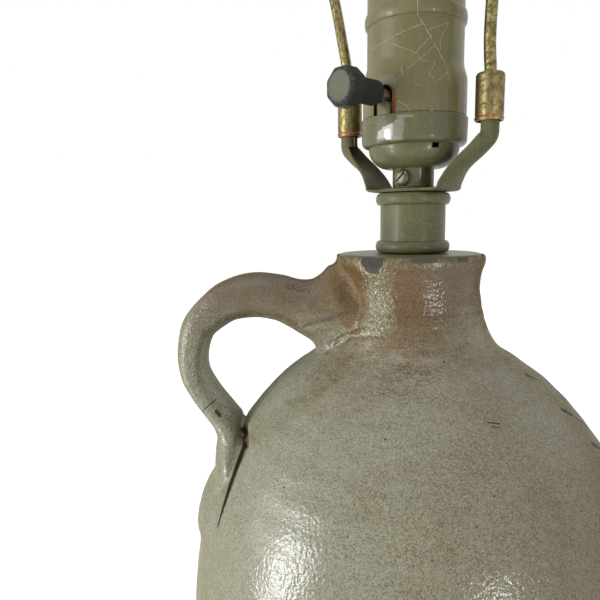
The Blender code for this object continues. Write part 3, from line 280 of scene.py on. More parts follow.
def heading(rows, index):
    """The direction of a line of points at one of them."""
    way = rows[min(index + 1, len(rows) - 1)][:2] - rows[max(index - 1, 0)][:2]
    return way / np.linalg.norm(way)


def joined(obj, others, operation):
    """Cut the others out of a piece or join them on, and drop them."""
    for other in others:
        boolean = obj.modifiers.new(operation.lower(), "BOOLEAN")
        boolean.operation, boolean.solver, boolean.object = operation, "EXACT", other
    bpy.context.view_layer.update()
    mesh = bpy.data.meshes.new_from_object(obj.evaluated_get(bpy.context.evaluated_depsgraph_get()))
    obj.modifiers.clear()
    obj.data = mesh
    for other in others:
        bpy.data.objects.remove(other)
    return obj


def evenly(line, spacing):
    """A line's points moved along it to a spacing that may change with height."""
    line = np.array(line)
    out, carried = [line[0]], 0.0
    for a, b in zip(line, line[1:]):
        length = np.linalg.norm(b - a)
        while carried + length >= spacing(a[1]):
            a = a + (b - a) * ((spacing(a[1]) - carried) / length)
            out.append(a)
            length, carried = np.linalg.norm(b - a), 0.0
        carried += length
    return np.array(out + [line[-1]])


def drill(name, radius, low, high, rounds, matrix=None):
    """A round cutter between two heights of a frame."""
    return turned(name, [(0.0, low), (radius, low), (radius, high), (0.0, high)], rounds, closed=False,
                  matrix=matrix)


side = evenly(smooth(JUG_SIDE, 10) * MM, lambda z: 0.85 * MM if z > 0.165 else 1.9 * MM)
hollow = smooth(JUG_INSIDE, 3) * MM
lip = [(26.2 * MM, LIP_TOP + 0.2 * MM), (26.0 * MM, LIP_TOP), (14.0 * MM, LIP_TOP)]
jug_line = [(0.0, 0.0), (0.03, 0.0), *side[::-1], *lip, *hollow, (0.0, hollow[-1][1])]
jug = turned("stoneware_jug", jug_line, JUG_TURNS, closed=False)

stations = smooth(HANDLE, 6)
rings = []
for index, (out, height, thick, wide, wrap) in enumerate(stations):
    level = min(max((out + 56.0) / 18.0, 0.0), 1.0) if height > 235.0 else 0.0
    along = heading(stations, index) * (1.0 - level) + np.array([-1.0, 0.0]) * level
    along = along / np.linalg.norm(along)
    corner = HANDLE_CORNER - 0.5 * level
    ring = []
    for k in range(HANDLE_ROUND):
        turn = math.tau * k / HANDLE_ROUND
        sway = math.copysign(abs(math.cos(turn)) ** (2 / corner), math.cos(turn)) * wide
        rise = math.copysign(abs(math.sin(turn)) ** (2 / corner), math.sin(turn)) * thick
        reach = out + along[1] * rise
        reach = -math.sqrt(max(reach ** 2 - wrap * sway ** 2, HANDLE_ROOT ** 2))
        ring.append((reach * MM, sway * MM, (height - along[0] * rise) * MM))
    rings.append(ring)
handle = lofted("handle", rings)
for piece in (jug, handle):
    for slot_name in ("body_clay", "handle_clay"):
        piece.data.materials.append(bpy.data.materials.get(slot_name) or bpy.data.materials.new(slot_name))
handle.data.polygons.foreach_set("material_index", [1] * len(handle.data.polygons))
cord_frame = Matrix.Translation(CORD_PLACE) @ CORD_AXIS.to_track_quat("Z", "Y").to_matrix().to_4x4()
joined(jug, [handle], "UNION")
joined(jug, [drill("cord_drill", CORD_HOLE, -0.02, 0.01, 48, cord_frame)], "DIFFERENCE")


# Marks left by the potter's fingers and by wear: a line over the clay in mm, how deep in mm
# (raised where negative), and how wide in mm
TAIL_CREASE = ((-64.0, -9.0, 201.0), (-62.8, -16.5, 200.5), (-62.5, -21.2, 198.5), (-64.3, -24.5, 195.0),
               (-66.2, -26.6, 190.0), (-68.2, -29.7, 184.4), (-71.2, -32.4, 174.5))
MARKS = (
    (((-26.3, -11.0, 255.0), (-26.5, -12.2, 253.1), (-25.2, -13.6, 249.7), (-22.4, -14.4, 246.8)), 0.55, 3.0),
    (((-41.0, -10.9, 240.0), (-34.3, -12.6, 242.4), (-28.9, -13.8, 244.3), (-22.7, -14.8, 246.1)), 0.75, 1.0),
    (((-32.2, -5.4, 230.7), (-30.4, -9.7, 234.1), (-27.9, -12.4, 236.3), (-25.1, -14.5, 238.0),
      (-22.1, -16.3, 239.7), (-19.7, -18.6, 240.6)), 0.40, 0.8),
    (((-31.4, -7.6, 232.2), (-29.1, -11.6, 235.1), (-26.5, -13.9, 236.9), (-22.6, -16.9, 238.6)), -0.5, 0.9),
    (((-30.9, -6.3, 231.5), (-27.9, -10.7, 234.0), (-24.6, -15.0, 235.9), (-21.1, -18.6, 237.4),
      (-17.4, -21.6, 238.2), (-14.3, -23.9, 238.1)), 0.40, 0.8),
    (((-25.0, -9.3, 263.0), (-23.4, -13.5, 262.4), (-21.7, -17.2, 261.4), (-19.6, -18.6, 259.2)), -0.45, 1.2),
    (((-77.5, -11.7, 206.8), (-74.0, -12.4, 208.2), (-71.3, -8.2, 208.6), (-69.8, -5.3, 207.4),
      (-68.2, -3.6, 205.7), (-66.5, -4.5, 203.0)), 0.5, 0.9),
    (((-73.5, -12.2, 208.7), (-72.3, -12.4, 207.2)), 0.7, 1.1),
    (((-78.6, -11.7, 208.6), (-77.4, -12.0, 209.8), (-76.1, -12.1, 211.1), (-75.0, -11.2, 211.8),
      (-74.0, -9.9, 212.5)), 0.25, 0.5))
# Of each chip in the lip: azimuth and half width in degrees, height and half height in mm
CHIPS = ((-40.0, 8.5, 262.3, 2.7), (-3.0, 8.0, 264.6, 0.9), (28.0, 6.0, 264.6, 1.1))


def laid(mesh, lines):
    """Lines laid on the clay as they are seen from the front, in metres."""
    skin = bvhtree.BVHTree.FromPolygons([v.co for v in mesh.vertices], [f.vertices for f in mesh.polygons])
    out = []
    for line in lines:
        points = []
        for point in line:
            point = Vector(point) * MM
            hit = skin.ray_cast(Vector(EYE), point - Vector(EYE))[0]
            points.append(tuple(hit if hit and (hit - point).length < 12 * MM else point))
        out.append(points)
    return out


def distance_to(place, line):
    """How far each place is from a line of points."""
    far = np.full(len(place), 1.0)
    for start, end in zip(np.array(line), np.array(line[1:])):
        way = end - start
        share = np.clip((place - start) @ way / (way @ way), 0.0, 1.0)
        far = np.minimum(far, np.linalg.norm(place - start - share[:, None] * way, axis=1))
    return far


def worked(mesh):
    """Smear the handle's joints, then give the clay its wobble, rings, finger marks and chips."""
    count = len(mesh.vertices)
    place = np.empty(count * 3)
    mesh.vertices.foreach_get("co", place)
    place = place.reshape(-1, 3)
    kinds = np.zeros((count, 2), bool)
    for face in mesh.polygons:
        kinds[list(face.vertices), face.material_index] = True
    outside = np.hypot(place[:, 0], place[:, 1]) > 15 * MM
    seam = np.flatnonzero(kinds.all(axis=1) & outside)
    tree = kdtree.KDTree(len(seam))
    for v in seam:
        tree.insert(place[v], v)
    tree.balance()
    near = np.full(count, 1.0)
    for v in np.flatnonzero((place[:, 0] < -0.012) & (place[:, 2] > 0.14) & outside):
        near[v] = tree.find(place[v])[2]
    z = place[:, 2]
    reach = np.interp(z, [0.150, 0.172, 0.180, 0.209, 0.222, 0.230, 0.256, 0.263],
                      [0.009, 0.006, 0.0012, 0.0012, 0.007, 0.0115, 0.0115, 0.003])
    share = np.clip(1.0 - near / reach, 0.0, 1.0)
    weight = share * share * (3 - 2 * share)
    edges = np.empty(len(mesh.edges) * 2, int)
    mesh.edges.foreach_get("vertices", edges)
    one, two = edges.reshape(-1, 2).T
    degree = np.bincount(one, minlength=count) + np.bincount(two, minlength=count)
    for _ in range(70):
        total = np.stack([np.bincount(one, place[two, k], count) + np.bincount(two, place[one, k], count)
                          for k in range(3)], 1)
        place += (total / degree[:, None] - place) * (0.6 * weight)[:, None]
    mesh.vertices.foreach_set("co", place.ravel())
    mesh.update()
    normals = np.empty(count * 3)
    mesh.vertices.foreach_get("normal", normals)
    normals = normals.reshape(-1, 3)
    x, y, z = place.T
    lean = np.clip((z - 0.248) / 0.012, 0.0, 1.0)
    x -= LIP_SHIFT * lean * lean * (3 - 2 * lean)
    out = np.hypot(x, y)
    around = np.degrees(np.arctan2(x, -y))
    on_strap = (x < -0.03) & (np.abs(y) < 0.016) & (z > 0.2)
    push = np.zeros(count)
    for v in np.flatnonzero(outside & (z > 1 * MM)):
        here = place[v]
        push[v] = 0.35 * noise.noise(here * 22) + 0.12 * noise.noise(here * 120) \
            + (0.5 if on_strap[v] else 0.0) * 0.35 * noise.noise((here[0] * 60, here[1] * 150, here[2] * 60))
    throwing = np.sin(z * math.tau / (7.3 * MM) + 1.5 * np.sin(np.radians(around)))
    ringed = np.clip((z - 0.165) / 0.04, 0, 1) * np.clip((0.243 - z) / 0.01, 0, 1)
    push += 0.08 * throwing * ringed * ~on_strap
    for level in (245.4, 241.0):
        off_ring = z / MM - level - 0.4 * np.sin(np.radians(around + 30))
        push -= 0.14 * np.exp(-(off_ring / 0.9) ** 2) * ~on_strap
    crease = np.interp(z, [0.166, 0.176, 0.190, 0.200, 0.206], [0.0, 0.5, 1.3, 1.7, 0.3])
    push -= crease * np.exp(-(near / (1.3 * MM)) ** 2)
    tail, *lines = laid(mesh, [TAIL_CREASE] + [line for line, deep, wide in MARKS])
    push -= np.interp(z, [0.172, 0.184, 0.199, 0.209], [0.1, 1.1, 2.4, 0.4]) \
        * np.exp(-(distance_to(np.stack([x, -np.abs(y), z], 1), tail)
                   / (np.interp(z, [0.175, 0.2], [0.6, 1.4]) * MM)) ** 2)
    for line, (_, deep, wide) in zip(lines, MARKS):
        from_ends = [np.linalg.norm(place - np.array(tip), axis=1) for tip in (line[0], line[-1])]
        fade = np.clip(np.minimum(*from_ends) / (3 * MM), 0.0, 1.0)
        push -= deep * np.exp(-(distance_to(place, line) / (wide * MM)) ** 2) * fade
    rim = (z > 0.2565) & (out > 24 * MM)
    for azimuth, wide, level, tall in CHIPS:
        spread = ((around - azimuth) / wide) ** 2 + ((z / MM - level) / tall) ** 2
        push -= 0.24 * np.exp(-spread ** 2) * rim
    push = np.where(outside & (z > 1 * MM), push, 0.0)
    place += normals * (push * MM)[:, None]
    mesh.vertices.foreach_set("co", place.ravel())
    mesh.update()


def dressed(obj, material, body, slot_name, *nodes, sharp=38.0):
    """Give a piece its finish, and let it stand for its node."""
    obj.data.materials.clear()
    obj.data.materials.append(material)
    obj.data.shade_smooth()
    obj.data.set_sharp_from_angle(angle=math.radians(sharp))
    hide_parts(*nodes)
    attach(obj, body)


worked(jug.data)
tail_line, *mark_lines = laid(jug.data, [TAIL_CREASE] + [line for line, deep, wide in MARKS])
jug.data.polygons.foreach_set("material_index", [0] * len(jug.data.polygons))


def position(finish):
    """A place on the lamp, and its parts."""
    place = finish.node("TexCoord", output="Object")
    parts = [finish.node("SeparateXYZ", {}, {0: place}, k) for k in range(3)]
    return place, *parts


def step(value, low, high):
    """Nothing below low, one above high, and an easy slope between."""
    return value.finish.node("MapRange", {"interpolation_type": "SMOOTHSTEP"},
                             {"Value": value, "From Min": low, "From Max": high})


def grain(place, size, detail=2.0, roughness=0.5, stretch=(1.0, 1.0, 1.0)):
    """Noise whose lumps have about the given size, from 0 to 1 round 0.5."""
    scaled = place.finish.node("VectorMath", {"operation": "MULTIPLY"}, {0: place, 1: stretch})
    return place.finish.node("TexNoise", {}, {"Vector": scaled, "Scale": 1.0 / size, "Detail": detail,
                                              "Roughness": roughness})


def mixed(share, first, second):
    """A colour between two, by a share."""
    return share.finish.node("Mix", {"data_type": "RGBA"}, {"Factor_Float": share, "A_Color": first,
                                                            "B_Color": second}, "Result_Color")


def layered(tone, *layers):
    """Colours laid one over the other, each by its share."""
    for share, colour in layers:
        tone = mixed(share, tone, colour)
    return tone


def bumped(height, strength, depth):
    """The normal of a skin with a height, by a strength and a depth in mm."""
    return height.finish.node("Bump", {}, {"Strength": strength, "Distance": depth * MM, "Height": height})


def surface(finish, inputs):
    """Finish a material with its shader."""
    shader = finish.node("BsdfPrincipled", {}, inputs)
    finish.node("OutputMaterial", {}, {"Surface": shader}, None)
    return finish.owner


def most(first, *others):
    """The greatest of several values."""
    for other in others:
        first = first.finish.maths("MAXIMUM", first, other)
    return first


def clamped(value):
    """A value held between 0 and 1."""
    return value.finish.node("Clamp", {}, {0: value})


def span(a, b):
    """The length of a way, from its two parts."""
    return a.finish.maths("SQRT", a * a + b * b)


def bearing(x, y):
    """The turn round the lamp's axis from the front, in radians."""
    return x.finish.maths("ARCTAN2", x, 0.0 - y)


def cells(place, scale, output="Distance", feature="F1"):
    """A field of cells: how far a place is from a cell's middle or edge, or the cell's own number."""
    found = place.finish.node("TexVoronoi", {"feature": feature}, {"Vector": place, "Scale": scale}, output)
    return place.finish.node("SeparateColor", {}, {0: found}) if output == "Color" else found


def along_way(place, start, way):
    """A place's offset from the start of a straight way, and its share of the way, from 0 to 1."""
    def vector(operation, first, second, output=0):
        return place.finish.node("VectorMath", {"operation": operation}, {0: first, 1: second}, output)
    off = vector("SUBTRACT", place, tuple(start))
    return off, clamped(vector("DOT_PRODUCT", off, tuple(way / way.length_squared), "Value"))


def far_from(place, points):
    """How far a place is from a line of points, in metres."""
    nearest = None
    for start, end in zip(points, points[1:]):
        way = Vector(end) - Vector(start)
        off, share = along_way(place, start, way)
        foot = place.finish.node("VectorMath", {"operation": "SCALE"}, {0: tuple(way), "Scale": share})
        far = place.finish.node("VectorMath", {"operation": "DISTANCE"}, {0: off, 1: foot}, "Value")
        nearest = far if nearest is None else place.finish.maths("MINIMUM", nearest, far)
    return nearest


def beside(place, points, far, close, rough=0.0):
    """One where a line of points is close, and nothing where it is far, both in mm."""
    return step(far_from(place, points) + rough, far * MM, close * MM)


def on_jug(azimuth, rise):
    """A place on the jug's side, by azimuth and by mm up from the cap disc."""
    height = DISC_TOP + rise * MM
    rows = side[side[:, 1] > 0.1]
    out = np.interp(height, rows[::-1, 1], rows[::-1, 0])
    turn = math.radians(azimuth)
    return (math.sin(turn) * out, -math.cos(turn) * out, height)


# The brushed mark on the jug's right: a generic spray of leaves in thin cobalt slip, by azimuth
# and mm up from the cap disc. Of each leaf: both its ends and its half width in mm
STEM = ((96, -112), (92, -98), (91, -84), (89, -70), (89, -56), (87, -44))
LEAVES = ((88, -54, 58, -41.5, 0.45), (89, -66, 57, -52, 0.7), (90, -78, 60, -63, 0.7),
          (91, -89, 66, -74, 0.9), (93, -102, 72, -88, 0.8), (89, -57, 112, -39, 0.7),
          (89, -69, 118, -50, 0.9), (91, -83, 120, -63, 0.9), (92, -95, 117, -78, 0.9),
          (94, -106, 112, -93, 0.8), (87, -44, 86, -31, 0.6))
ROOT_RUN = ((-0.0270, -0.0150, 0.2370), (-0.0215, -0.0190, 0.2410), (-0.0150, -0.0225, 0.2430))

glaze = Finish("salt_glaze")
place, x, y, z = position(glaze)
around = bearing(x, y) * (180.0 / math.pi)
up = (z - DISC_TOP) / MM
clouds = grain(place, 45 * MM, 3.0) - 0.5
patches = grain(place, 14 * MM, 3.0, 0.6)
spotty = patches - 0.5
fine = grain(place, 0.62 * MM, 4.0, 0.7)
dust = grain(place, 0.40 * MM, 2.0, 0.6)
peel = grain(place, 1.15 * MM, 1.5, 0.5)
streaked = grain(place, 2.6 * MM, 3.0, 0.62, (0.30, 0.30, 1.6))
mottle = grain(place, 3.2 * MM, 3.0, 0.6)

# the grey-green skin turns brown where the fire toasted it: the neck and the handle. The right side is
# browner and darker, partly the glaze's flashing and partly painted shade away from the window; the left is
# lighter and greener, partly painted light
toasted = step(z + clouds * 0.055 + spotty * 0.02 + (streaked - 0.5) * 0.03, 0.231, 0.257) \
    * (step(x, -0.086, -0.060) * 0.6 + 0.4)
# painted shade with flashing: the right side, away from the window, is browner and darker
right_flash_and_shade = step(x * 0.9 - z * 0.25 + clouds * 0.05, -0.044, 0.014) * step(z, 0.245, 0.17)
on_handle = step(0.0 - x, 0.024, 0.05) * step(z, 0.218, 0.246) * step(x, -0.088, -0.070)
brown = most(toasted, right_flash_and_shade)
tanned = step(spotty + clouds * 0.8, -0.04, 0.18) * (step(x, -0.075, -0.020) * 0.42 + 0.18)
tone = layered(
    # the lighter, greener left of the base is partly painted light from the window
    mixed(step(x + clouds * 0.05, -0.050, 0.010), (0.292, 0.300, 0.204), (0.262, 0.240, 0.146)),
    (step(clouds, 0.0, -0.16) * 0.5, (0.275, 0.295, 0.222)),
    (tanned, (0.225, 0.172, 0.096)),
    (right_flash_and_shade * (0.62 + patches * 0.7), (0.142, 0.093, 0.042)),
    # painted shade: the lower right is darker still
    (step(x, 0.005, 0.050) * step(z, 0.188, 0.150) * 0.40, (0.150, 0.084, 0.042)),
    (toasted * (0.64 + patches * 0.6), (0.134, 0.068, 0.008)),
    (on_handle * (0.62 + patches * 0.4), (0.160, 0.128, 0.076)))

# throwing leaves fine tan streaks round the shoulder, and the salt a soft mottle
tone = layered(
    tone,
    (step(streaked, 0.50, 0.72) * step(z, 0.150, 0.205) * 0.50, (0.200, 0.144, 0.070)),
    (step(mottle, 0.52, 0.74) * 0.40, (0.190, 0.136, 0.068)),
    (step(mottle, 0.48, 0.28) * (1.0 - brown * 0.6) * 0.35, (0.31, 0.32, 0.25)),
    (step(patches, 0.50, 0.66) * brown * 0.40, (0.160, 0.072, 0.016)))

# the fire also caught the shoulder below the handle, and the lip's rim is darker and spotted just under the
# cap disc
caught = beside(place, (on_jug(-48, -37), on_jug(-22, -38), on_jug(4, -33)), 29, 3, clouds * 0.03)
rim = step(up + spotty * 2.5, -4.6, -3.0) * step(span(x, y), 24 * MM, 25 * MM)
rim_spots = grain(place, 1.6 * MM, 3.0, 0.65)
tone = layered(
    tone,
    (caught * (0.12 + step(mottle, 0.42, 0.66) * 0.46), (0.165, 0.098, 0.034)),
    (rim * 0.85, mixed(step(rim_spots, 0.42, 0.58), (0.085, 0.058, 0.022), (0.205, 0.180, 0.080))))

# fine lines run round the pressed root of the handle
fold_far = far_from(place, mark_lines[0])
striae = glaze.maths("SINE", fold_far * (math.tau / (1.1 * MM)) + grain(place, 1.8 * MM, 3.0, 0.6) * 11.0)
striae = striae * 0.5 + 0.5
by_root = step(fold_far, 9 * MM, 3 * MM) * step(z, 0.238, 0.244)
tone = layered(tone, (by_root * 0.45, (0.150, 0.104, 0.052)),
               (by_root * striae * 0.26, (0.290, 0.200, 0.096)))

# sand in the clay shows through as grains, each of its own shade, and iron as dark specks
shade = cells(place, 3200.0, "Color") * 0.62 + dust * 0.42 + fine * 0.22 - 0.11
calm = 1.0 - on_handle * 0.28
crowded = step(grain(place, 6 * MM, 3.0) + brown * 0.1, 0.15, 0.62) * 0.7 + 0.3
speckle = step(shade, 0.56, 0.80) * calm * crowded
iron = step(cells(place, 150.0) + dust * 0.06, 0.115, 0.070) * step(cells(place, 150.0, "Color"), 0.36, 0.40)
tone = layered(
    tone,
    (speckle * (step(x, -0.075, 0.010) * 0.24 + 0.54),
     mixed(brown, (0.108, 0.070, 0.032), (0.052, 0.028, 0.011))),
    (step(shade, 0.56, 0.20) * calm * 0.54, mixed(brown, (0.44, 0.415, 0.30), (0.26, 0.155, 0.040))),
    (iron * 0.92, (0.034, 0.020, 0.012)))

# a run of yellow-green glass, crackled, on the neck and down beside the handle's root
flow = spotty * 14.0 + (mottle - 0.5) * 26.0 + (fine - 0.5) * 5.0
run = step(abs(around + 35.0 + flow), 14.0, 7.0) \
    * step(up + (mottle - 0.5) * 10.0, -28.0, -22.0) * step(up, -3.5, -7.0)
glass = most(run, beside(place, ROOT_RUN, 4.5, 2.0, spotty * 0.006)) \
    * step(grain(place, 2.4 * MM, 4.0, 0.75), 0.36, 0.56)
crackle = step(cells(place, 520.0, feature="DISTANCE_TO_EDGE"), 0.20, 0.05) * glass * step(dust, 0.32, 0.52)
tone = layered(tone, (glass * 0.78, (0.30, 0.295, 0.130)), (crackle * 0.85, (0.072, 0.056, 0.030)))

# bare clay in the lip's chips, the big one with a rounded top
wave = (grain(place, 2.6 * MM, 3.0, 0.7) - 0.5) * 7.0
taper = clamped((up + 6.0) / 3.6) ** 0.5
big_chip = step(abs(around + 39.0) + wave * 0.9 - taper * 8.6, 0.6, -0.6) * step(up, -6.0, -5.8)
rim_chip = most(step(abs(around + 3.0) + wave, 10.5, 7.5), step(abs(around - 28.0) + wave, 7.0, 5.0)) \
    * step(up + wave * 0.12, -2.2, -1.6)
bare = most(big_chip, rim_chip * 0.8)
tone = mixed(bare * 0.92, tone, mixed(step(fine, 0.40, 0.60), (0.030, 0.028, 0.024), (0.075, 0.070, 0.058)))

# painted shade in the grooves by the handle's root and in one throwing ring, and painted black shade in the
# crease beside the handle's tail, with a brown band of painted shade along it; black also in a crack, in a
# pit and in two scratches
mirrored = glaze.node("CombineXYZ", {}, {0: x, 1: 0.0 - abs(y), 2: z})
crease_far = far_from(mirrored, tail_line)
crease_width = most(z - 0.173, 0.0) * 0.034 + 0.00032
crease = step(crease_far / crease_width + (fine - 0.5) * 0.5, 1.15, 0.50) \
    * step(z, 0.172, 0.177) * step(z, 0.214, 0.208)
ring_line = step(abs(up + 20.1 + clouds * 1.5), 0.42, 0.12) * step(x, -0.022, -0.008) \
    * step(grain(place, 5 * MM, 2.0), 0.36, 0.52)
# painted shade along the grooves at the handle's root and in a throwing ring
fold_shade = most(beside(place, mark_lines[1], 1.3, 0.1) * 0.55, beside(place, mark_lines[0], 3.4, 0.6) * 0.50,
             beside(place, mark_lines[2], 0.7, 0.2) * 0.60, beside(place, mark_lines[4], 0.7, 0.2) * 0.60,
             ring_line * 0.50)
# painted black shade in the tail's crease, with the dark of a crack, a pit and two scratches
dark = most(crease, beside(place, mark_lines[8], 0.36, 0.12) * 0.75,
            beside(place, mark_lines[7], 1.5, 0.8, dust * 0.9 * MM) * 0.9,
            beside(place, (on_jug(16.0, -48.7), on_jug(20.2, -49.4)), 0.40, 0.12) * 0.85,
            beside(place, (on_jug(16.5, -49.7), on_jug(19.5, -50.2)), 0.26, 0.10) * 0.7)
# a brown band of painted shade on each side of the tail's crease
crease_shade_band = step(crease_far, 3.2 * MM, 0.4 * MM) * step(z, 0.172, 0.196) * step(z, 0.214, 0.208)
tone = layered(tone, (fold_shade, (0.060, 0.030, 0.012)), (crease_shade_band * 0.6, (0.110, 0.070, 0.036)),
               (dark * 0.94, (0.018, 0.010, 0.005)))

# each brushed leaf is fine where it leaves the stem and full at its tip
leaf = beside(place, [on_jug(*point) for point in STEM], 1.1, 0.6, dust * 0.4 * MM)
for foot_turn, foot_up, tip_turn, tip_up, half in LEAVES:
    foot, tip = on_jug(foot_turn, foot_up), on_jug(tip_turn, tip_up)
    middle = on_jug((foot_turn + tip_turn) / 2, (foot_up + tip_up) / 2 - 5.0)
    share = along_way(place, foot, Vector(tip) - Vector(foot))[1]
    swell = share ** 0.6 * (half * MM) + 0.42 * MM
    leaf = most(leaf, step(far_from(place, (foot, middle, tip)) / swell + (fine - 0.5) * 0.9, 1.15, 0.70))
tone = mixed(leaf * step(grain(place, 2.2 * MM, 3.0), 0.24, 0.46) * 0.92, tone, (0.026, 0.032, 0.044))

pocked = step(0.0 - x, 0.064, 0.074) * step(z, 0.170, 0.180) * (peel * 0.8 + fine * 0.3)
height = peel * (step(z, 0.190, 0.225) * 0.28 + 0.72) + pocked + by_root * striae * 0.15 + fine * 0.12 \
    + grain(place, 5 * MM, 2.0) * 0.25 - iron * 0.3 - dark * 0.8 - bare * 0.12 - crackle * 0.2 \
    + glass * peel * 0.7
skin = {"Base Color": tone, "Normal": bumped(height, 1.0, 0.27)}
gloss = 0.075 + patches * 0.06 + speckle * 0.04 + bare * 0.65 - glass * 0.02 + dark * 0.55 + rim * 0.15 \
    + by_root * 0.30
# the pocked skin loses its shine where it is seen edge on, and the cracks have none
edge_on = step(glaze.node("LayerWeight", {}, {"Blend": 0.5}, "Facing"), 0.30, 0.75) * 0.92
glossy_skin = glaze.node("BsdfPrincipled", {}, {**skin, "Roughness": gloss, "Specular IOR Level": 0.60})
dull_skin = glaze.node("BsdfPrincipled", {}, {**skin, "Roughness": 0.85, "Specular IOR Level": 0.10})
both = glaze.node("MixShader", {}, {0: most(dark, by_root * 0.50, edge_on), 1: glossy_skin, 2: dull_skin})
glaze.node("OutputMaterial", {}, {"Surface": both}, None)
dressed(jug, glaze.owner, "lamp", "stoneware", "jug_body", sharp=55.0)


# Cord bushing: a black moulded sleeve with a rounded flange, pressed into the hole that is
# drilled low in the jug's rear wall, so that the cord doesn't chafe on the glaze.
BUSHING_LINE = ((4.75, -6.0), (4.75, 1.3), (4.95, 1.95), (5.6, 2.4), (6.4, 2.5), (7.6, 2.25), (8.6, 1.7),
                (9.1, 1.0), (9.2, 0.3), (6.05, 0.3), (6.05, -6.0))


def grained(name, noise, colours, rough, bump, metal=0.0, edges=None):
    """A plain material with one grain, by the grain's values, its two colours, the roughness and
    what the grain adds to it, and the bump's strength and depth in mm."""
    finish = Finish(name)
    grains = grain(position(finish)[0], *noise)
    return surface(finish, {"Base Color": mixed(step(grains, *edges) if edges else grains, *colours),
                            "Metallic": metal, "Roughness": rough[0] + grains * rough[1],
                            "Normal": bumped(grains, *bump)})


def in_mm(line):
    """A line in mm turned to metres."""
    return [(out * MM, height * MM, *share) for out, height, *share in line]


moulded = grained("black_moulding", (1.2 * MM, 3.0, 0.6), ((0.020, 0.021, 0.021), (0.038, 0.039, 0.038)),
                  (0.34, 0.2), (0.3, 0.05))
dressed(turned("cord_sleeve", in_mm(BUSHING_LINE), 64, matrix=cord_frame), moulded, "lamp", "black_plastic",
        "cord_bushing", sharp=40.0)


# Clamp in the jug's mouth: a rubber plug squeezed between two zinc-plated washers by the nut
# on the threaded nipple. It is hidden by the cap disc and stays as the source has it.
zinc = Finish("zinc_plate")
place, x, y, z = position(zinc)
thread = zinc.maths("SINE", z * (math.tau / (0.94 * MM)) + zinc.maths("ARCTAN2", y, x))
is_nipple = step(span(x, y), 5.3 * MM, 4.7 * MM)
blotch = grain(place, 2.5 * MM, 3.0)
surface(zinc, {"Base Color": mixed(blotch, (0.40, 0.40, 0.38), (0.60, 0.60, 0.58)), "Metallic": 1.0,
               "Roughness": 0.30 + blotch * 0.25, "Normal": bumped(thread * is_nipple, 0.8, 0.3)})
rubber = grained("plug_rubber", (1.0 * MM, 3.0), ((0.018, 0.018, 0.018), (0.045, 0.044, 0.042)),
                 (0.70, 0.2), (0.4, 0.1))


def wear(material, *nodes):
    """Give nodes that stay as the source has them a material."""
    for node in nodes:
        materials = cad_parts[node].data.materials
        materials.clear()
        materials.append(material)


wear(zinc.owner, "threaded_nipple", "plug_top_washer", "plug_bottom_washer", "plug_nut",
     "switch_spindle", "neutral_terminal_screw")
wear(rubber, "rubber_plug")


# Cap disc: a painted steel disc with its edge rolled over, which covers the jug's lip and
# spreads the clamp's pull. The olive paint is shared by all the visible fittings.
DISC_RADIUS = 25.95 * MM
BORE = 5.2 * MM
above = Matrix.Translation((0.0, 0.0, DISC_TOP))


def olive_paint(name, marks=None, coat=0.25, coat_index=1.5, dull=0.0):
    """Satin olive-drab paint over steel, with brushed streaks, dust and worn places."""
    paint = Finish(name)
    place, x, y, z = position(paint)
    cloud = grain(place, 9 * MM, 3.0)
    streaks = grain(place, 1.3 * MM, 3.0, 0.6, (1.0, 1.0, 0.12))
    dust = grain(place, 0.6 * MM, 3.0, 0.65)
    rubbed = step(grain(place, 3.2 * MM, 4.0, 0.65), 0.56, 0.76)
    # dried drips leave pale outlines, and old dirt a darker green
    stain = grain(place, 4.6 * MM, 1.5)
    tone = layered(
        mixed(step(cloud, 0.3, 0.7), (0.107, 0.105, 0.046), (0.143, 0.131, 0.058)),
        (step(streaks, 0.50, 0.72) * 0.35, (0.180, 0.168, 0.082)),
        (step(streaks, 0.48, 0.34) * 0.30, (0.085, 0.080, 0.034)),
        (step(dust, 0.52, 0.72) * 0.30, (0.210, 0.192, 0.100)),
        (rubbed * 0.45, (0.066, 0.058, 0.028)),
        (step(stain, 0.60, 0.64) * 0.42, (0.085, 0.090, 0.046)),
        (step(abs(stain - 0.60), 0.016, 0.002) * 0.42, (0.200, 0.195, 0.120)))
    height = grain(place, 1.1 * MM, 2.0) * 0.5 + dust * 0.25 + streaks * 0.35
    extra = {}
    if marks:
        tone, height, extra = marks(place, x, y, z, tone, height)
    return surface(paint, {"Base Color": tone, "Roughness": 0.32 + dull + cloud * 0.12 + dust * 0.10,
                           "Specular IOR Level": 0.34, "Coat Weight": coat, "Coat Roughness": 0.07,
                           "Coat IOR": coat_index, "Normal": bumped(height, 0.6, 0.14), **extra})


SATIN_OLIVE = olive_paint("satin_olive_paint", coat=0.08, dull=0.06)


def bend(centre, radius, start, end, steps):
    """Points on an arc of a section, in degrees from outwards."""
    return [(centre[0] + radius * math.cos(math.radians(start + (end - start) * k / steps)),
             centre[1] + radius * math.sin(math.radians(start + (end - start) * k / steps)))
            for k in range(steps + 1)]


disc_line = [(BORE, 0.0), (13.0 * MM, 0.0), (20.0 * MM, 0.0)] \
    + bend((DISC_RADIUS - 0.9 * MM, -0.9 * MM), 0.9 * MM, 90.0, -20.0, 8) \
    + [(DISC_RADIUS - 0.1 * MM, -1.2 * MM), (BORE, -1.2 * MM)]
disc = turned("cap_disc", disc_line, 160, matrix=above)
for vertex in disc.data.vertices:
    vertex.co.x -= LIP_SHIFT * min(max((vertex.co.xy.length - 13 * MM) / (12 * MM), 0.0), 1.0)
dressed(disc, SATIN_OLIVE, "lamp", "olive_paint", "vase_cap")


# Neck: a spun steel tube with a rolled bead at its foot and at its top, which stands on the
# disc and carries the saddle.
NECK_TUBE = 11.9 * MM
NECK_BEAD = 13.6 * MM
BEAD_HEIGHT = 4.4 * MM
NECK_TOP = 22.0 * MM


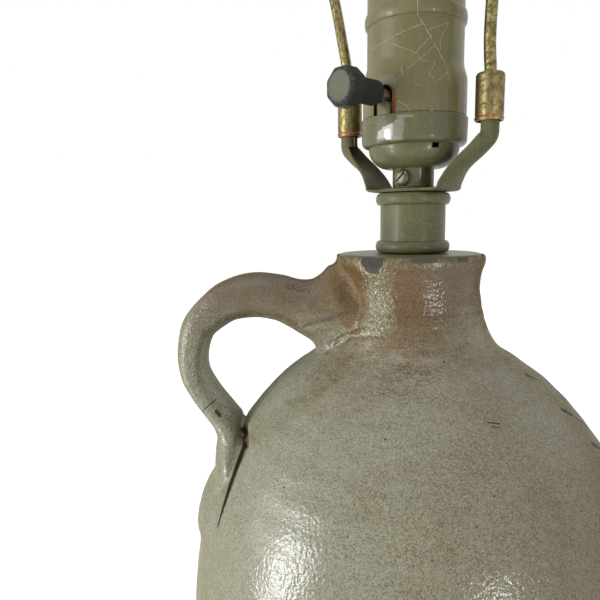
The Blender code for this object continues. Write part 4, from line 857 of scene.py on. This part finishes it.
def rolled(tube, crest, middle, half, steps):
    """Points down a rounded bead that runs into its tube with a small cove at each end."""
    points = []
    for k in range(steps + 1):
        turn = math.pi * (0.5 - k / steps)
        points.append((tube + (crest - tube) * math.cos(turn) ** 0.8, middle + half * math.sin(turn)))
    return points


half = BEAD_HEIGHT / 2
neck_line = [(BORE, NECK_TOP), (NECK_TUBE - 0.4 * MM, NECK_TOP)] \
    + rolled(NECK_TUBE, NECK_BEAD, NECK_TOP - half, half, 14) \
    + rolled(NECK_TUBE, NECK_BEAD, 0.3 * MM + half, half, 14) \
    + [(NECK_TUBE - 0.9 * MM, 0.3 * MM), (NECK_TUBE - 0.9 * MM, NECK_TOP - 0.9 * MM),
       (BORE, NECK_TOP - 0.9 * MM)]
dressed(turned("spun_neck", neck_line, 128, matrix=above), SATIN_OLIVE, "lamp", "olive_paint", "lamp_neck")


# Harp saddle: one strip of steel, clamped under the socket by its round middle, bent up on
# each side and curled into a channel that takes a foot of the harp wire.
SADDLE_FOOT = 22.3 * MM
SADDLE_SHEET = 1.2 * MM
HARP_AZIMUTH = 52.0
HARP_TURN = Matrix.Rotation(math.radians(HARP_AZIMUTH - 90.0), 4, "Z")
# The strap's thickness, the radius of its full curl, and the least share of that curl
STRAP_SHEET = 1.0
ARM_CURL = 3.4
FLATTEST = 0.002
# Of each station from the middle outwards: place out and up, share of full curl, width, in mm
STRAP = ((5.2, 22.4, FLATTEST, 19.8), (13.6, 22.4, 0.02, 19.8), (15.61, 24.5, 0.06, 19.5),
         (18.19, 27.81, 0.14, 17.7), (21.5, 30.59, 0.28, 16.35), (25.6, 33.59, 0.48, 15.6),
         (29.0, 36.59, 0.74, 15.15), (30.16, 37.95, 0.88, 15.0), (30.88, 39.55, 0.96, 15.0),
         (31.2, 41.5, 1.0, 15.0), (31.2, 47.0, 1.0, 15.0), (31.2, 53.0, 1.0, 15.0))

half_line = smooth(STRAP, 4)
half_line[:, 2] = np.maximum(half_line[:, 2], FLATTEST)
strap_rows = np.vstack([half_line[::-1] * np.array([-1, 1, 1, 1]), half_line])
strap_rings = []
edge = STRAP_SHEET / 2
for index, (out, height, curl, wide) in enumerate(strap_rows):
    along = heading(strap_rows, index)
    inward = np.array([-along[1], along[0]])
    bend_radius = ARM_CURL / curl
    ring = []
    # over one face of the strap and back over the other, with the sheet's edges rounded
    for face, order in ((-1, 1), (1, -1)):
        for k in np.linspace(-1, 1, 25)[::order]:
            taper = min(1.0, (1 - abs(k)) * wide / 2 / edge + 0.25)
            reach = bend_radius - edge - face * edge * math.sqrt(taper * (2 - taper))
            turn = wide * k / 2 / bend_radius
            point = np.array([out, height]) + inward * (bend_radius - reach * math.cos(turn))
            ring.append((point[0] * MM, reach * math.sin(turn) * MM, point[1] * MM))
    strap_rings.append(ring)
strap = lofted("strap", strap_rings)
middle_line = bend((12.2 * MM, SADDLE_FOOT + SADDLE_SHEET - 0.3 * MM), 0.3 * MM, 90.0, 0.0, 4) \
    + bend((12.2 * MM, SADDLE_FOOT + 0.3 * MM), 0.3 * MM, 0.0, -90.0, 4)
saddle = turned("saddle_strap", [(0.0, SADDLE_FOOT + SADDLE_SHEET), *middle_line, (0.0, SADDLE_FOOT)], 96,
                closed=False)
joined(saddle, [strap], "UNION")
joined(saddle, [drill("saddle_hole", BORE, 0.02, 0.03, 48)], "DIFFERENCE")
saddle.data.transform(above @ HARP_TURN)
dressed(saddle, olive_paint("dusty_olive_paint", coat=0.0, dull=0.22), "lamp", "olive_paint", "harp_saddle")


# Socket cap: a drawn steel bowl on a threaded hub, painted. Its rim takes the shell; a tongue
# stands up from it in the shell's notch, and a small vent is punched in its step.
HUB = 7.5 * MM
HUB_FOOT = 23.8 * MM
BOWL_FOOT = 30.8 * MM
BOWL = 16.3 * MM
BOWL_HEIGHT = 7.3 * MM
CAP = 19.05 * MM
CAP_RIM = 48.0 * MM
CAP_SHEET = 0.6 * MM
# The radii of the tongue's inner and outer face, in mm
TONGUE = (18.15, 18.68)
NOTCH_AZIMUTH = -45.0
SCREW_AZIMUTH = -41.0
SCREW_HEIGHT = 27.3 * MM
VENT_AZIMUTH = 16.0


def facing(azimuth, height=0.0, outward=False):
    """A frame on the fittings' axis with +X, or +Z if outward, at an azimuth from the front."""
    turn = Matrix.Rotation(math.radians(azimuth - 90), 4, "Z")
    turn = above @ Matrix.Translation((0.0, 0.0, height)) @ turn
    return turn @ Matrix.Rotation(math.pi / 2, 4, "Y") if outward else turn


def block(name, low, high, matrix):
    """A cutter or lug between two corners in a frame."""
    corners = [(x, y, z) for x in (low[0], high[0]) for y in (low[1], high[1]) for z in (low[2], high[2])]
    faces = [(0, 1, 3, 2), (4, 5, 7, 6), (0, 1, 5, 4), (2, 3, 7, 6), (0, 2, 6, 4), (1, 3, 7, 5)]
    return made(name, corners, faces, matrix)


cap_step = BOWL_FOOT + BOWL_HEIGHT
cap_wall = CAP - 0.2 * MM
outer = [(CAP - 0.15 * MM, CAP_RIM)] + bend((CAP - 0.25 * MM, CAP_RIM - 0.3 * MM), 0.25 * MM, 60.0, 0.0, 3) \
    + bend((cap_wall - 2.2 * MM, cap_step + 2.4 * MM), 2.2 * MM, 0.0, -80.0, 10) \
    + bend((BOWL + 0.35 * MM, cap_step - 0.15 * MM), 0.35 * MM, 100.0, 180.0, 5) \
    + bend((BOWL - BOWL_HEIGHT, cap_step), BOWL_HEIGHT, 0.0, -88.0, 20)
inner = [(CAP - CAP_SHEET, CAP_RIM), (CAP - CAP_SHEET - 0.2 * MM, cap_step + 2.8 * MM),
         (BOWL - CAP_SHEET, cap_step + 0.5 * MM)] \
    + bend((BOWL - BOWL_HEIGHT, cap_step), BOWL_HEIGHT - CAP_SHEET, 0.0, -88.0, 16)
hub_line = bend((HUB + 0.5 * MM, BOWL_FOOT - 0.4 * MM), 0.5 * MM, 90.0, 180.0, 5) \
    + bend((HUB - 0.4 * MM, HUB_FOOT + 0.4 * MM), 0.4 * MM, 0.0, -90.0, 5) \
    + [(BORE, HUB_FOOT), (BORE, BOWL_FOOT + CAP_SHEET)]
cap = turned("socket_bowl", outer + hub_line + inner[::-1], 160, matrix=above)
vent = block("vent", (BOWL - 2.2 * MM, -1.3 * MM, -1.5 * MM), (CAP, 1.3 * MM, 0.2 * MM),
             facing(VENT_AZIMUTH, cap_step))
screw_frame = facing(SCREW_AZIMUTH, SCREW_HEIGHT, True)
joined(cap, [vent, drill("screw_hole", 1.8 * MM, 0.0, 0.0095, 24, screw_frame)], "DIFFERENCE")
tongue_rings = []
for height, half_width in ((43.5, 2.5), (51.2, 2.5), (51.8, 2.2), (52.0, 1.8)):
    turns = np.linspace(-1.0, 1.0, 9) * half_width / TONGUE[0]
    tongue_rings.append([(reach * math.cos(turn) * MM, reach * math.sin(turn) * MM, height * MM)
                         for reach, order in zip(TONGUE, (1, -1)) for turn in turns[::order]])
tongue = lofted("tongue", tongue_rings, facing(NOTCH_AZIMUTH))
joined(cap, [tongue], "UNION")


def varnished(place, x, y, z, tone, height):
    """A run of clear varnish on the cap's wall under the knob, with a ragged outline."""
    ragged = grain(place, 3.0 * MM, 3.0, 0.6) - 0.5
    turn = bearing(x, y) * (180.0 / math.pi)
    up = (z - DISC_TOP) / MM
    patch = step(abs(turn + 37.0) + ragged * 16.0, 17.0, 14.0) \
        * step(up - (turn + 52.0) * 0.13 + ragged * 3.5, 42.9, 42.3) * step(up, 38.6, 39.4)
    drip = step(abs(up - 46.7 + ragged * 1.2), 0.6, 0.2) * step(abs(turn + 22.0), 12.0, 8.0)
    gloss = most(patch, drip)
    return tone, height * (1.0 - gloss * 0.8), {"Coat Weight": gloss * 0.9 + 0.08}


dressed(cap, olive_paint("varnished_paint", varnished, coat_index=2.2), "lamp", "olive_paint", "socket_cap")


# Set screw: a painted round-headed screw in the hub, which stops the socket from turning.
HEAD = 3.1 * MM
screw_line = [(0.0, 9.5 * MM)] + bend((HEAD - 1.7 * MM, 7.8 * MM), 1.7 * MM, 88.0, 0.0, 12) \
    + [(HEAD - 0.2 * MM, 7.75 * MM), (1.5 * MM, 7.75 * MM), (1.5 * MM, 5.2 * MM), (0.0, 5.2 * MM)]
set_screw = turned("set_screw_head", screw_line, 64, closed=False, matrix=screw_frame)
joined(set_screw, [block("slot", (-0.004, -0.35 * MM, 8.75 * MM), (0.004, 0.35 * MM, 0.012),
                         screw_frame @ Matrix.Rotation(math.radians(-45.0), 4, "Z"))], "DIFFERENCE")
dressed(set_screw, olive_paint("olive_paint"), "lamp", "olive_paint", "set_screw")


# Socket interior: a black phenolic moulding with the switch chamber, brass contact leaves and
# rivets, a terminal screw on each side, and a pressed aluminium shell threaded for the bulb.
SHELL_PITCH = 3.63 * MM
THREAD_DEEP = 0.36 * MM
phenolic = grained("phenolic_moulding", (0.9 * MM, 3.0), ((0.022, 0.020, 0.018), (0.046, 0.042, 0.038)),
                   (0.34, 0.2), (0.3, 0.06))
bright = grained("bright_brass", (1.6 * MM, 3.0), ((0.72, 0.53, 0.22), (0.45, 0.30, 0.11)), (0.22, 0.25),
                 (0.2, 0.04), metal=1.0, edges=(0.45, 0.7))
pressed = grained("pressed_aluminium", (0.5 * MM, 2.0, 0.5, (1.0, 1.0, 8.0)),
                  ((0.66, 0.66, 0.66), (0.84, 0.84, 0.83)), (0.22, 0.18), (0.2, 0.04), metal=1.0)
wear(phenolic, "socket_body", "switch_rotor")
wear(bright, "centre_contact", "switch_contact", "shell_rivet_1", "shell_rivet_2", "hot_terminal_screw")

# the screw shell's outer side: the floor with its hole, the threaded wall and the plain rim
cup_outside = [(5.2, 62.3), (12.6, 62.3), (13.45, 63.2)] \
    + [(13.45, 63.4 + 0.3 * k, min(1.0, k / 8, (82 - k) / 8)) for k in range(1, 82)] \
    + [(13.6, 88.4), (13.6, 90.3)]
cup_inside = [(out - 0.4 * (out > 6), height + 0.4 * (height < 63), *share)
              for out, height, *share in cup_outside]
bulb_shell = turned("bulb_shell", in_mm(cup_outside + cup_inside[::-1]), 96, matrix=above, pitch=SHELL_PITCH,
                    deep=THREAD_DEEP)
dressed(bulb_shell, pressed, "lamp", "aluminium", "screw_shell")


# Liner: a tube of orange-brown vulcanised fibre inside the shell. It shows in the shell's
# notch, behind the knob's stem.
FIBRE = 16.3 * MM
FIBRE_SHEET = 0.4 * MM
FIBRE_FOOT = 44.7 * MM
FIBRE_TOP = 91.8 * MM
KNOB_HEIGHT = 54.8 * MM
fibre = Finish("vulcanised_fibre")
place, x, y, z = position(fibre)
felt = grain(place, 0.5 * MM, 4.0, 0.65)
soak = grain(place, 4 * MM, 2.0)
surface(fibre, {"Base Color": mixed(felt * 0.6 + soak * 0.4, (0.42, 0.15, 0.035), (0.72, 0.32, 0.09)),
                "Roughness": 0.62 + felt * 0.2, "Normal": bumped(felt, 0.4, 0.1)})


def notch(name, half_width, crown, azimuth, inside, outside):
    """A cutter through one side of a tube, from below up to a round top."""
    outline = [(-crown - half_width * math.sin(turn), half_width * math.cos(turn))
               for turn in np.linspace(0.0, math.pi, 25)] + [(-0.040, -half_width), (-0.040, half_width)]
    rings = [[(x, y, reach) for x, y in outline] for reach in (inside, outside)]
    return lofted(name, rings, facing(azimuth, 0.0, True))


liner_line = [(FIBRE - FIBRE_SHEET, FIBRE_TOP), (FIBRE, FIBRE_TOP), (FIBRE, FIBRE_FOOT),
              (FIBRE - FIBRE_SHEET, FIBRE_FOOT)]
liner = turned("fibre_liner", liner_line, 128, matrix=above)
joined(liner, [notch("liner_notch", 3.7 * MM, KNOB_HEIGHT, -51.0, 0.0077, 0.0190)], "DIFFERENCE")
dressed(liner, fibre.owner, "lamp", "fibre", "shell_insulator")


# Socket shell: a drawn tube with a rolled bead and a flared skirt that snaps into the cap. A
# round-topped notch clears the switch. Its olive paint is crazed by fine cream scratches.
# Of each scratch: azimuth in degrees and height in mm at its ends, and its width in mm
SCRATCHES = (
    ((-9, 83), (-9, 79), 0.20), ((-9, 79), (21, 65), 0.22), ((-4, 76), (-38, 73), 0.16),
    ((-38, 73), (-69, 71), 0.13), ((3, 74), (28, 77), 0.14), ((28, 77), (17, 71), 0.14),
    ((17, 71), (17.5, 68), 0.16), ((5, 72), (-10, 67), 0.16), ((-38, 71), (-10, 67), 0.14),
    ((10, 69), (-19, 62), 0.15), ((21, 65), (27, 58), 0.15), ((11, 64), (4, 60), 0.14),
    ((4, 60), (10, 57.5), 0.13), ((10, 57.5), (26, 61), 0.12), ((-25, 63), (-24, 60), 0.15),
    ((-24, 60), (-34, 58), 0.12), ((-6, 65), (2, 64), 0.13), ((-28, 52), (-19, 50), 0.16),
    ((-19, 50), (-16, 48), 0.14), ((-13, 58), (-5, 56), 0.08), ((2, 57), (2, 52), 0.08),
    ((24, 57), (24, 48), 0.08))
SHELL = 17.1 * MM
SHELL_SHEET = 0.5 * MM
SHELL_TOP = 93.0 * MM
SHELL_BEAD = 18.0 * MM
SHELL_BEAD_HEIGHT = 81.9 * MM
SHELL_MIDDLE = 17.6 * MM
SKIRT = 18.48 * MM
SKIRT_SPIGOT = 18.15 * MM
FLARE_TOP = 67.0
FLARE_LENGTH = 6.8


def scratched(place, x, y, z, tone, height):
    """Draw the scratches on the unrolled shell, each with a slight waver."""
    along = bearing(x, y) * SHELL_MIDDLE + (grain(place, 2.2 * MM, 2.0) - 0.5) * (0.9 * MM)
    up = z - DISC_TOP + (grain(place, 1.6 * MM, 2.0) - 0.5) * (0.7 * MM)
    lines = []
    for *ends, width in SCRATCHES:
        start, end = (Vector((math.radians(turn) * SHELL_MIDDLE, high * MM)) for turn, high in ends)
        way = end - start
        off_along, off_up = along - start.x, up - start.y
        share = clamped((off_along * way.x + off_up * way.y) / way.length_squared)
        far = span(off_along - share * way.x, off_up - share * way.y)
        lines.append(step(far, width * (0.74 + 2.4 * (width - 0.12)) * MM, width * 0.26 * MM))
    mask = most(*lines) * step(grain(place, 0.9 * MM, 2.0), 0.30, 0.50)
    tone = layered(tone, (step(z, 0.0, 0.1) * 0.36, (0.260, 0.224, 0.088)), (mask * 0.85, (0.56, 0.49, 0.28)))
    return tone, height - mask * 0.7, {}


seam = CAP_RIM + 0.3 * MM
flare = [(SHELL + (SKIRT - SHELL) * (1 - math.cos(math.pi * k / 10)) / 2,
          (FLARE_TOP - FLARE_LENGTH * k / 10) * MM) for k in range(11)]
shell_outer = bend((SHELL - 0.25 * MM, SHELL_TOP - 0.25 * MM), 0.25 * MM, 90.0, 0.0, 4) \
    + rolled(SHELL, SHELL_BEAD, SHELL_BEAD_HEIGHT, 2.3 * MM, 16) + flare \
    + bend((SKIRT - 0.3 * MM, seam + 0.3 * MM), 0.3 * MM, 0.0, -80.0, 4) \
    + [(SKIRT_SPIGOT, seam - 0.3 * MM), (SKIRT_SPIGOT, 43.5 * MM)]
shell_inner = [(out - SHELL_SHEET, height) for out, height in shell_outer]
shell = turned("shell_tube", shell_outer + shell_inner[::-1], 200, matrix=above)
joined(shell, [notch("shell_notch", 4.7 * MM, 53.1 * MM, NOTCH_AZIMUTH, 0.0153, 0.0210)], "DIFFERENCE")
dressed(shell, olive_paint("scratched_paint", scratched), "lamp", "olive_paint", "socket_shell")


# Turn knob: a black moulding on the switch's flatted spindle, with a finely ribbed stem and an
# eight-sided head. Its round face is bare and worn grey-green.
KNOB_AZIMUTH = -48.0
RIBS = 24


def ribbed(turn, radius, depth):
    """The reach of a round outline with fine ribs, at a turn."""
    return radius - depth * (0.5 - 0.5 * math.cos(RIBS * turn))


def octagon(turn, half_flats, corner):
    """The reach of an eight-sided outline with softened corners, at a turn."""
    off = (turn + math.pi / 8) % (math.pi / 4) - math.pi / 8
    reach = half_flats / math.cos(off)
    limit = half_flats / math.cos(math.pi / 8) - corner
    return min(reach, limit + (reach - limit) * 0.25) if reach > limit else reach


# Of each level from the bore out over the stem to the face: outline, its radius or half
# flats, depth of the ribs or cut of the corners, and distance from the lamp's axis, in mm
KNOB_LEVELS = ((ribbed, 2.5, 0.0, 30.3), (ribbed, 2.5, 0.0, 21.5), (ribbed, 3.9, 0.0, 21.5),
               (ribbed, 4.2, 0.30, 21.9), (ribbed, 4.2, 0.30, 32.2), (ribbed, 4.3, 0.10, 32.6),
               (ribbed, 4.9, 0.0, 32.9), (octagon, 5.3, 0.0, 32.95), (octagon, 5.9, 0.1, 33.2),
               (octagon, 6.2, 0.16, 33.7), (octagon, 6.2, 0.16, 38.0), (octagon, 6.05, 0.16, 38.5),
               (octagon, 5.7, 0.2, 38.95), (ribbed, 5.35, 0.0, 39.15), (ribbed, 5.0, 0.0, 39.32),
               (ribbed, 4.6, 0.0, 39.4), (ribbed, 4.35, 0.0, 39.3), (ribbed, 3.0, 0.0, 39.25),
               (ribbed, 1.2, 0.0, 39.25))
knob_rings = [[(outline(turn, size, detail) * math.cos(turn) * MM,
                outline(turn, size, detail) * math.sin(turn) * MM, height * MM)
               for turn in np.linspace(0.0, math.tau, 193)[:-1]]
              for outline, size, detail, height in KNOB_LEVELS]
knob = lofted("knob_moulding", knob_rings, facing(KNOB_AZIMUTH, KNOB_HEIGHT, True))
knob_finish = Finish("knob_moulding")
place, x, y, z = position(knob_finish)
turn_x, turn_y = math.sin(math.radians(KNOB_AZIMUTH)), -math.cos(math.radians(KNOB_AZIMUTH))
out = x * turn_x + y * turn_y
side_way = x * turn_y - y * turn_x
off_axis = span(side_way, z - (DISC_TOP + KNOB_HEIGHT))
wear_noise = grain(place, 1.1 * MM, 4.0, 0.65)
on_face = step(out, 38.9 * MM, 39.15 * MM) \
    * step(off_axis + (wear_noise - 0.5) * 1.2 * MM, 5.2 * MM, 4.3 * MM)
edge_wear = step(out, 38.2 * MM, 39.0 * MM) * step(wear_noise, 0.48, 0.70)
tone = layered(mixed(wear_noise, (0.013, 0.015, 0.014), (0.056, 0.060, 0.053)),
               (on_face * (0.45 + wear_noise * 0.8), (0.185, 0.200, 0.138)),
               (edge_wear * 0.60, (0.16, 0.175, 0.15)))
surface(knob_finish, {"Base Color": tone, "Roughness": 0.34 + wear_noise * 0.25 + on_face * 0.15,
                      "Specular IOR Level": 0.10, "Normal": bumped(wear_noise, 0.4, 0.1)})
dressed(knob, knob_finish.owner, "knob", "black_plastic", "turn_knob")


# Harp: one length of sprung brass-plated wire, bent to a loop whose feet stand in the saddle's
# arms. Its plate has dulled to a mottled brown. A threaded stud is crimped on at the crown.
HARP_LEFT = ((-27.8, 40.8), (-27.8, 50.0), (-27.8, 60.5), (-28.39, 65.26), (-29.12, 70.27), (-30.16, 75.73),
             (-31.51, 81.99), (-33.13, 89.53), (-35.23, 98.11), (-38.05, 107.56), (-41.43, 118.13),
             (-45.54, 130.42), (-49.5, 143.2), (-52.66, 155.62), (-54.85, 167.13), (-55.73, 176.44),
             (-55.37, 185.04), (-53.68, 194.43), (-50.5, 203.28), (-45.54, 210.81), (-39.07, 216.79),
             (-30.73, 220.52), (-22.05, 222.65), (-14.84, 223.3), (-8.0, 223.3))
HARP_RIGHT = ((8.0, 223.3), (14.84, 223.3), (21.93, 222.65), (30.19, 220.52), (37.82, 216.79),
              (43.15, 210.81), (46.73, 203.28), (48.4, 194.43), (48.63, 185.04), (47.87, 176.44),
              (46.01, 167.13), (43.01, 155.62), (39.5, 143.2), (35.79, 130.42), (32.46, 118.13),
              (30.17, 107.56), (28.6, 98.11), (27.81, 89.53), (27.48, 81.99), (27.26, 75.73),
              (27.25, 70.27), (27.48, 65.26), (27.8, 60.5), (27.8, 50.0), (27.8, 40.8))
WIRE = 2.0 * MM
CROWN = 223.3


def aged_brass(name, copper_below=None):
    """Dull brass plate with mottled brown patina, and a coppery foot where it is rubbed."""
    brass = Finish(name)
    place, x, y, z = position(brass)
    patina = grain(place, 2.4 * MM, 4.0, 0.66)
    spots = grain(place, 1.2 * MM, 3.0, 0.6)
    tone = layered(
        mixed(step(patina, 0.36, 0.66), (0.290, 0.250, 0.098), (0.135, 0.110, 0.048)),
        (step(spots, 0.50, 0.70) * 0.60, (0.075, 0.048, 0.024)),
        (step(spots, 0.40, 0.30) * 0.4, (0.45, 0.42, 0.27)),
        (step(grain(place, 7.0 * MM, 3.0), 0.50, 0.66) * 0.40, (0.165, 0.095, 0.058)))
    if copper_below:
        copper = step(z, copper_below + 3.5 * MM, copper_below + 0.5 * MM) * step(patina, 0.35, 0.6)
        tone = layered(tone, (patina * 0.55, (0.110, 0.092, 0.044)), (copper, (0.26, 0.125, 0.060)))
    return surface(brass, {"Base Color": tone, "Metallic": 0.95 - step(spots, 0.55, 0.75) * 0.5,
                           "Roughness": 0.32 + patina * 0.18 + step(spots, 0.5, 0.7) * 0.25,
                           "Normal": bumped(spots * 0.6 + patina * 0.4, 0.35, 0.08)})


AGED = aged_brass("aged_brass")
wire_line = smooth(HARP_LEFT + HARP_RIGHT, 5)
wire_rings = []
for index, (out, height) in enumerate(wire_line):
    along = heading(wire_line, index)
    wire_rings.append([(out * MM - along[1] * WIRE * math.cos(turn), WIRE * math.sin(turn),
                        height * MM + along[0] * WIRE * math.cos(turn))
                       for turn in np.linspace(0.0, math.tau, 25)[:-1]])
harp_wire = lofted("harp_loop", wire_rings, above @ HARP_TURN)
dressed(harp_wire, AGED, "harp", "aged_brass", "harp_wire")

# the stud with its rolled thread, and the barrel that is crimped round the wire
STUD_FOOT = CROWN + 3.2
STUD_PITCH = 25.4 / 27 * MM
stud_line = [(0.0, CROWN + 2.6), (3.1, CROWN + 2.6), (3.1, STUD_FOOT), (5.6, STUD_FOOT),
             (6.0, STUD_FOOT + 0.4), (6.0, STUD_FOOT + 1.2), (5.6, STUD_FOOT + 1.6),
             (2.85, STUD_FOOT + 1.6)] \
    + [(2.85, STUD_FOOT + 1.6 + 0.14 * k, min(1.0, k / 6, (76 - k) / 6)) for k in range(1, 76)] \
    + [(2.4, STUD_FOOT + 12.5), (0.0, STUD_FOOT + 12.55)]
barrel_line = [(2.3, 5.0), *bend((3.4, 4.4), 0.6, 90.0, 0.0, 4), *bend((3.4, -4.4), 0.6, 0.0, -90.0, 4),
               (2.3, -5.0)]
stud = turned("threaded_stud", in_mm(stud_line), 48, closed=False, pitch=STUD_PITCH, deep=0.24 * MM)
lie = Matrix.Translation((0.0, 0.0, CROWN * MM)) @ Matrix.Rotation(math.pi / 2, 4, "Y")
joined(stud, [turned("barrel", in_mm(barrel_line), 64, matrix=lie)], "UNION")
joined(stud, [drill("barrel_bore", 2.25 * MM, -0.008, 0.008, 48, lie)], "DIFFERENCE")
stud.data.transform(above @ HARP_TURN)
dressed(stud, AGED, "harp", "aged_brass", "finial_stud")


# Ferrules: two drawn brass sleeves that slide down the harp's legs over the saddle's arms and
# lock the wire in them. Each has a rounded top and a thin rolled foot, rubbed to copper.
# The sleeve's radius, and its foot and top over the cap disc, in mm
FERRULE = 4.7
FERRULE_FOOT = 44.8
FERRULE_TOP = 60.5
LEG = 27.8 * MM
ferrule_line = [(2.7, FERRULE_TOP - 0.1), *bend((FERRULE - 1.3, FERRULE_TOP - 1.3), 1.3, 88.0, 0.0, 10),
                (FERRULE - 0.02, FERRULE_FOOT + 1.9), (FERRULE - 0.12, FERRULE_FOOT + 1.55),
                *bend((FERRULE - 0.25, FERRULE_FOOT + 0.9), 0.4, 50.0, -40.0, 6),
                (FERRULE - 0.05, FERRULE_FOOT), (FERRULE - 0.6, FERRULE_FOOT),
                (FERRULE - 0.6, FERRULE_TOP - 1.3), (FERRULE - 1.3, FERRULE_TOP - 0.65),
                (2.7, FERRULE_TOP - 0.65)]
FERRULE_BRASS = aged_brass("ferrule_brass", DISC_TOP + FERRULE_FOOT * MM)
for side_name, sign in (("left", -1), ("right", 1)):
    shift = Matrix.Translation((LEG * sign, 0.0, 0.0))
    ferrule = turned(side_name + "_sleeve", in_mm(ferrule_line), 72, matrix=above @ HARP_TURN @ shift)
    dressed(ferrule, FERRULE_BRASS, side_name + "_ferrule", "aged_brass", side_name + "_ferrule")
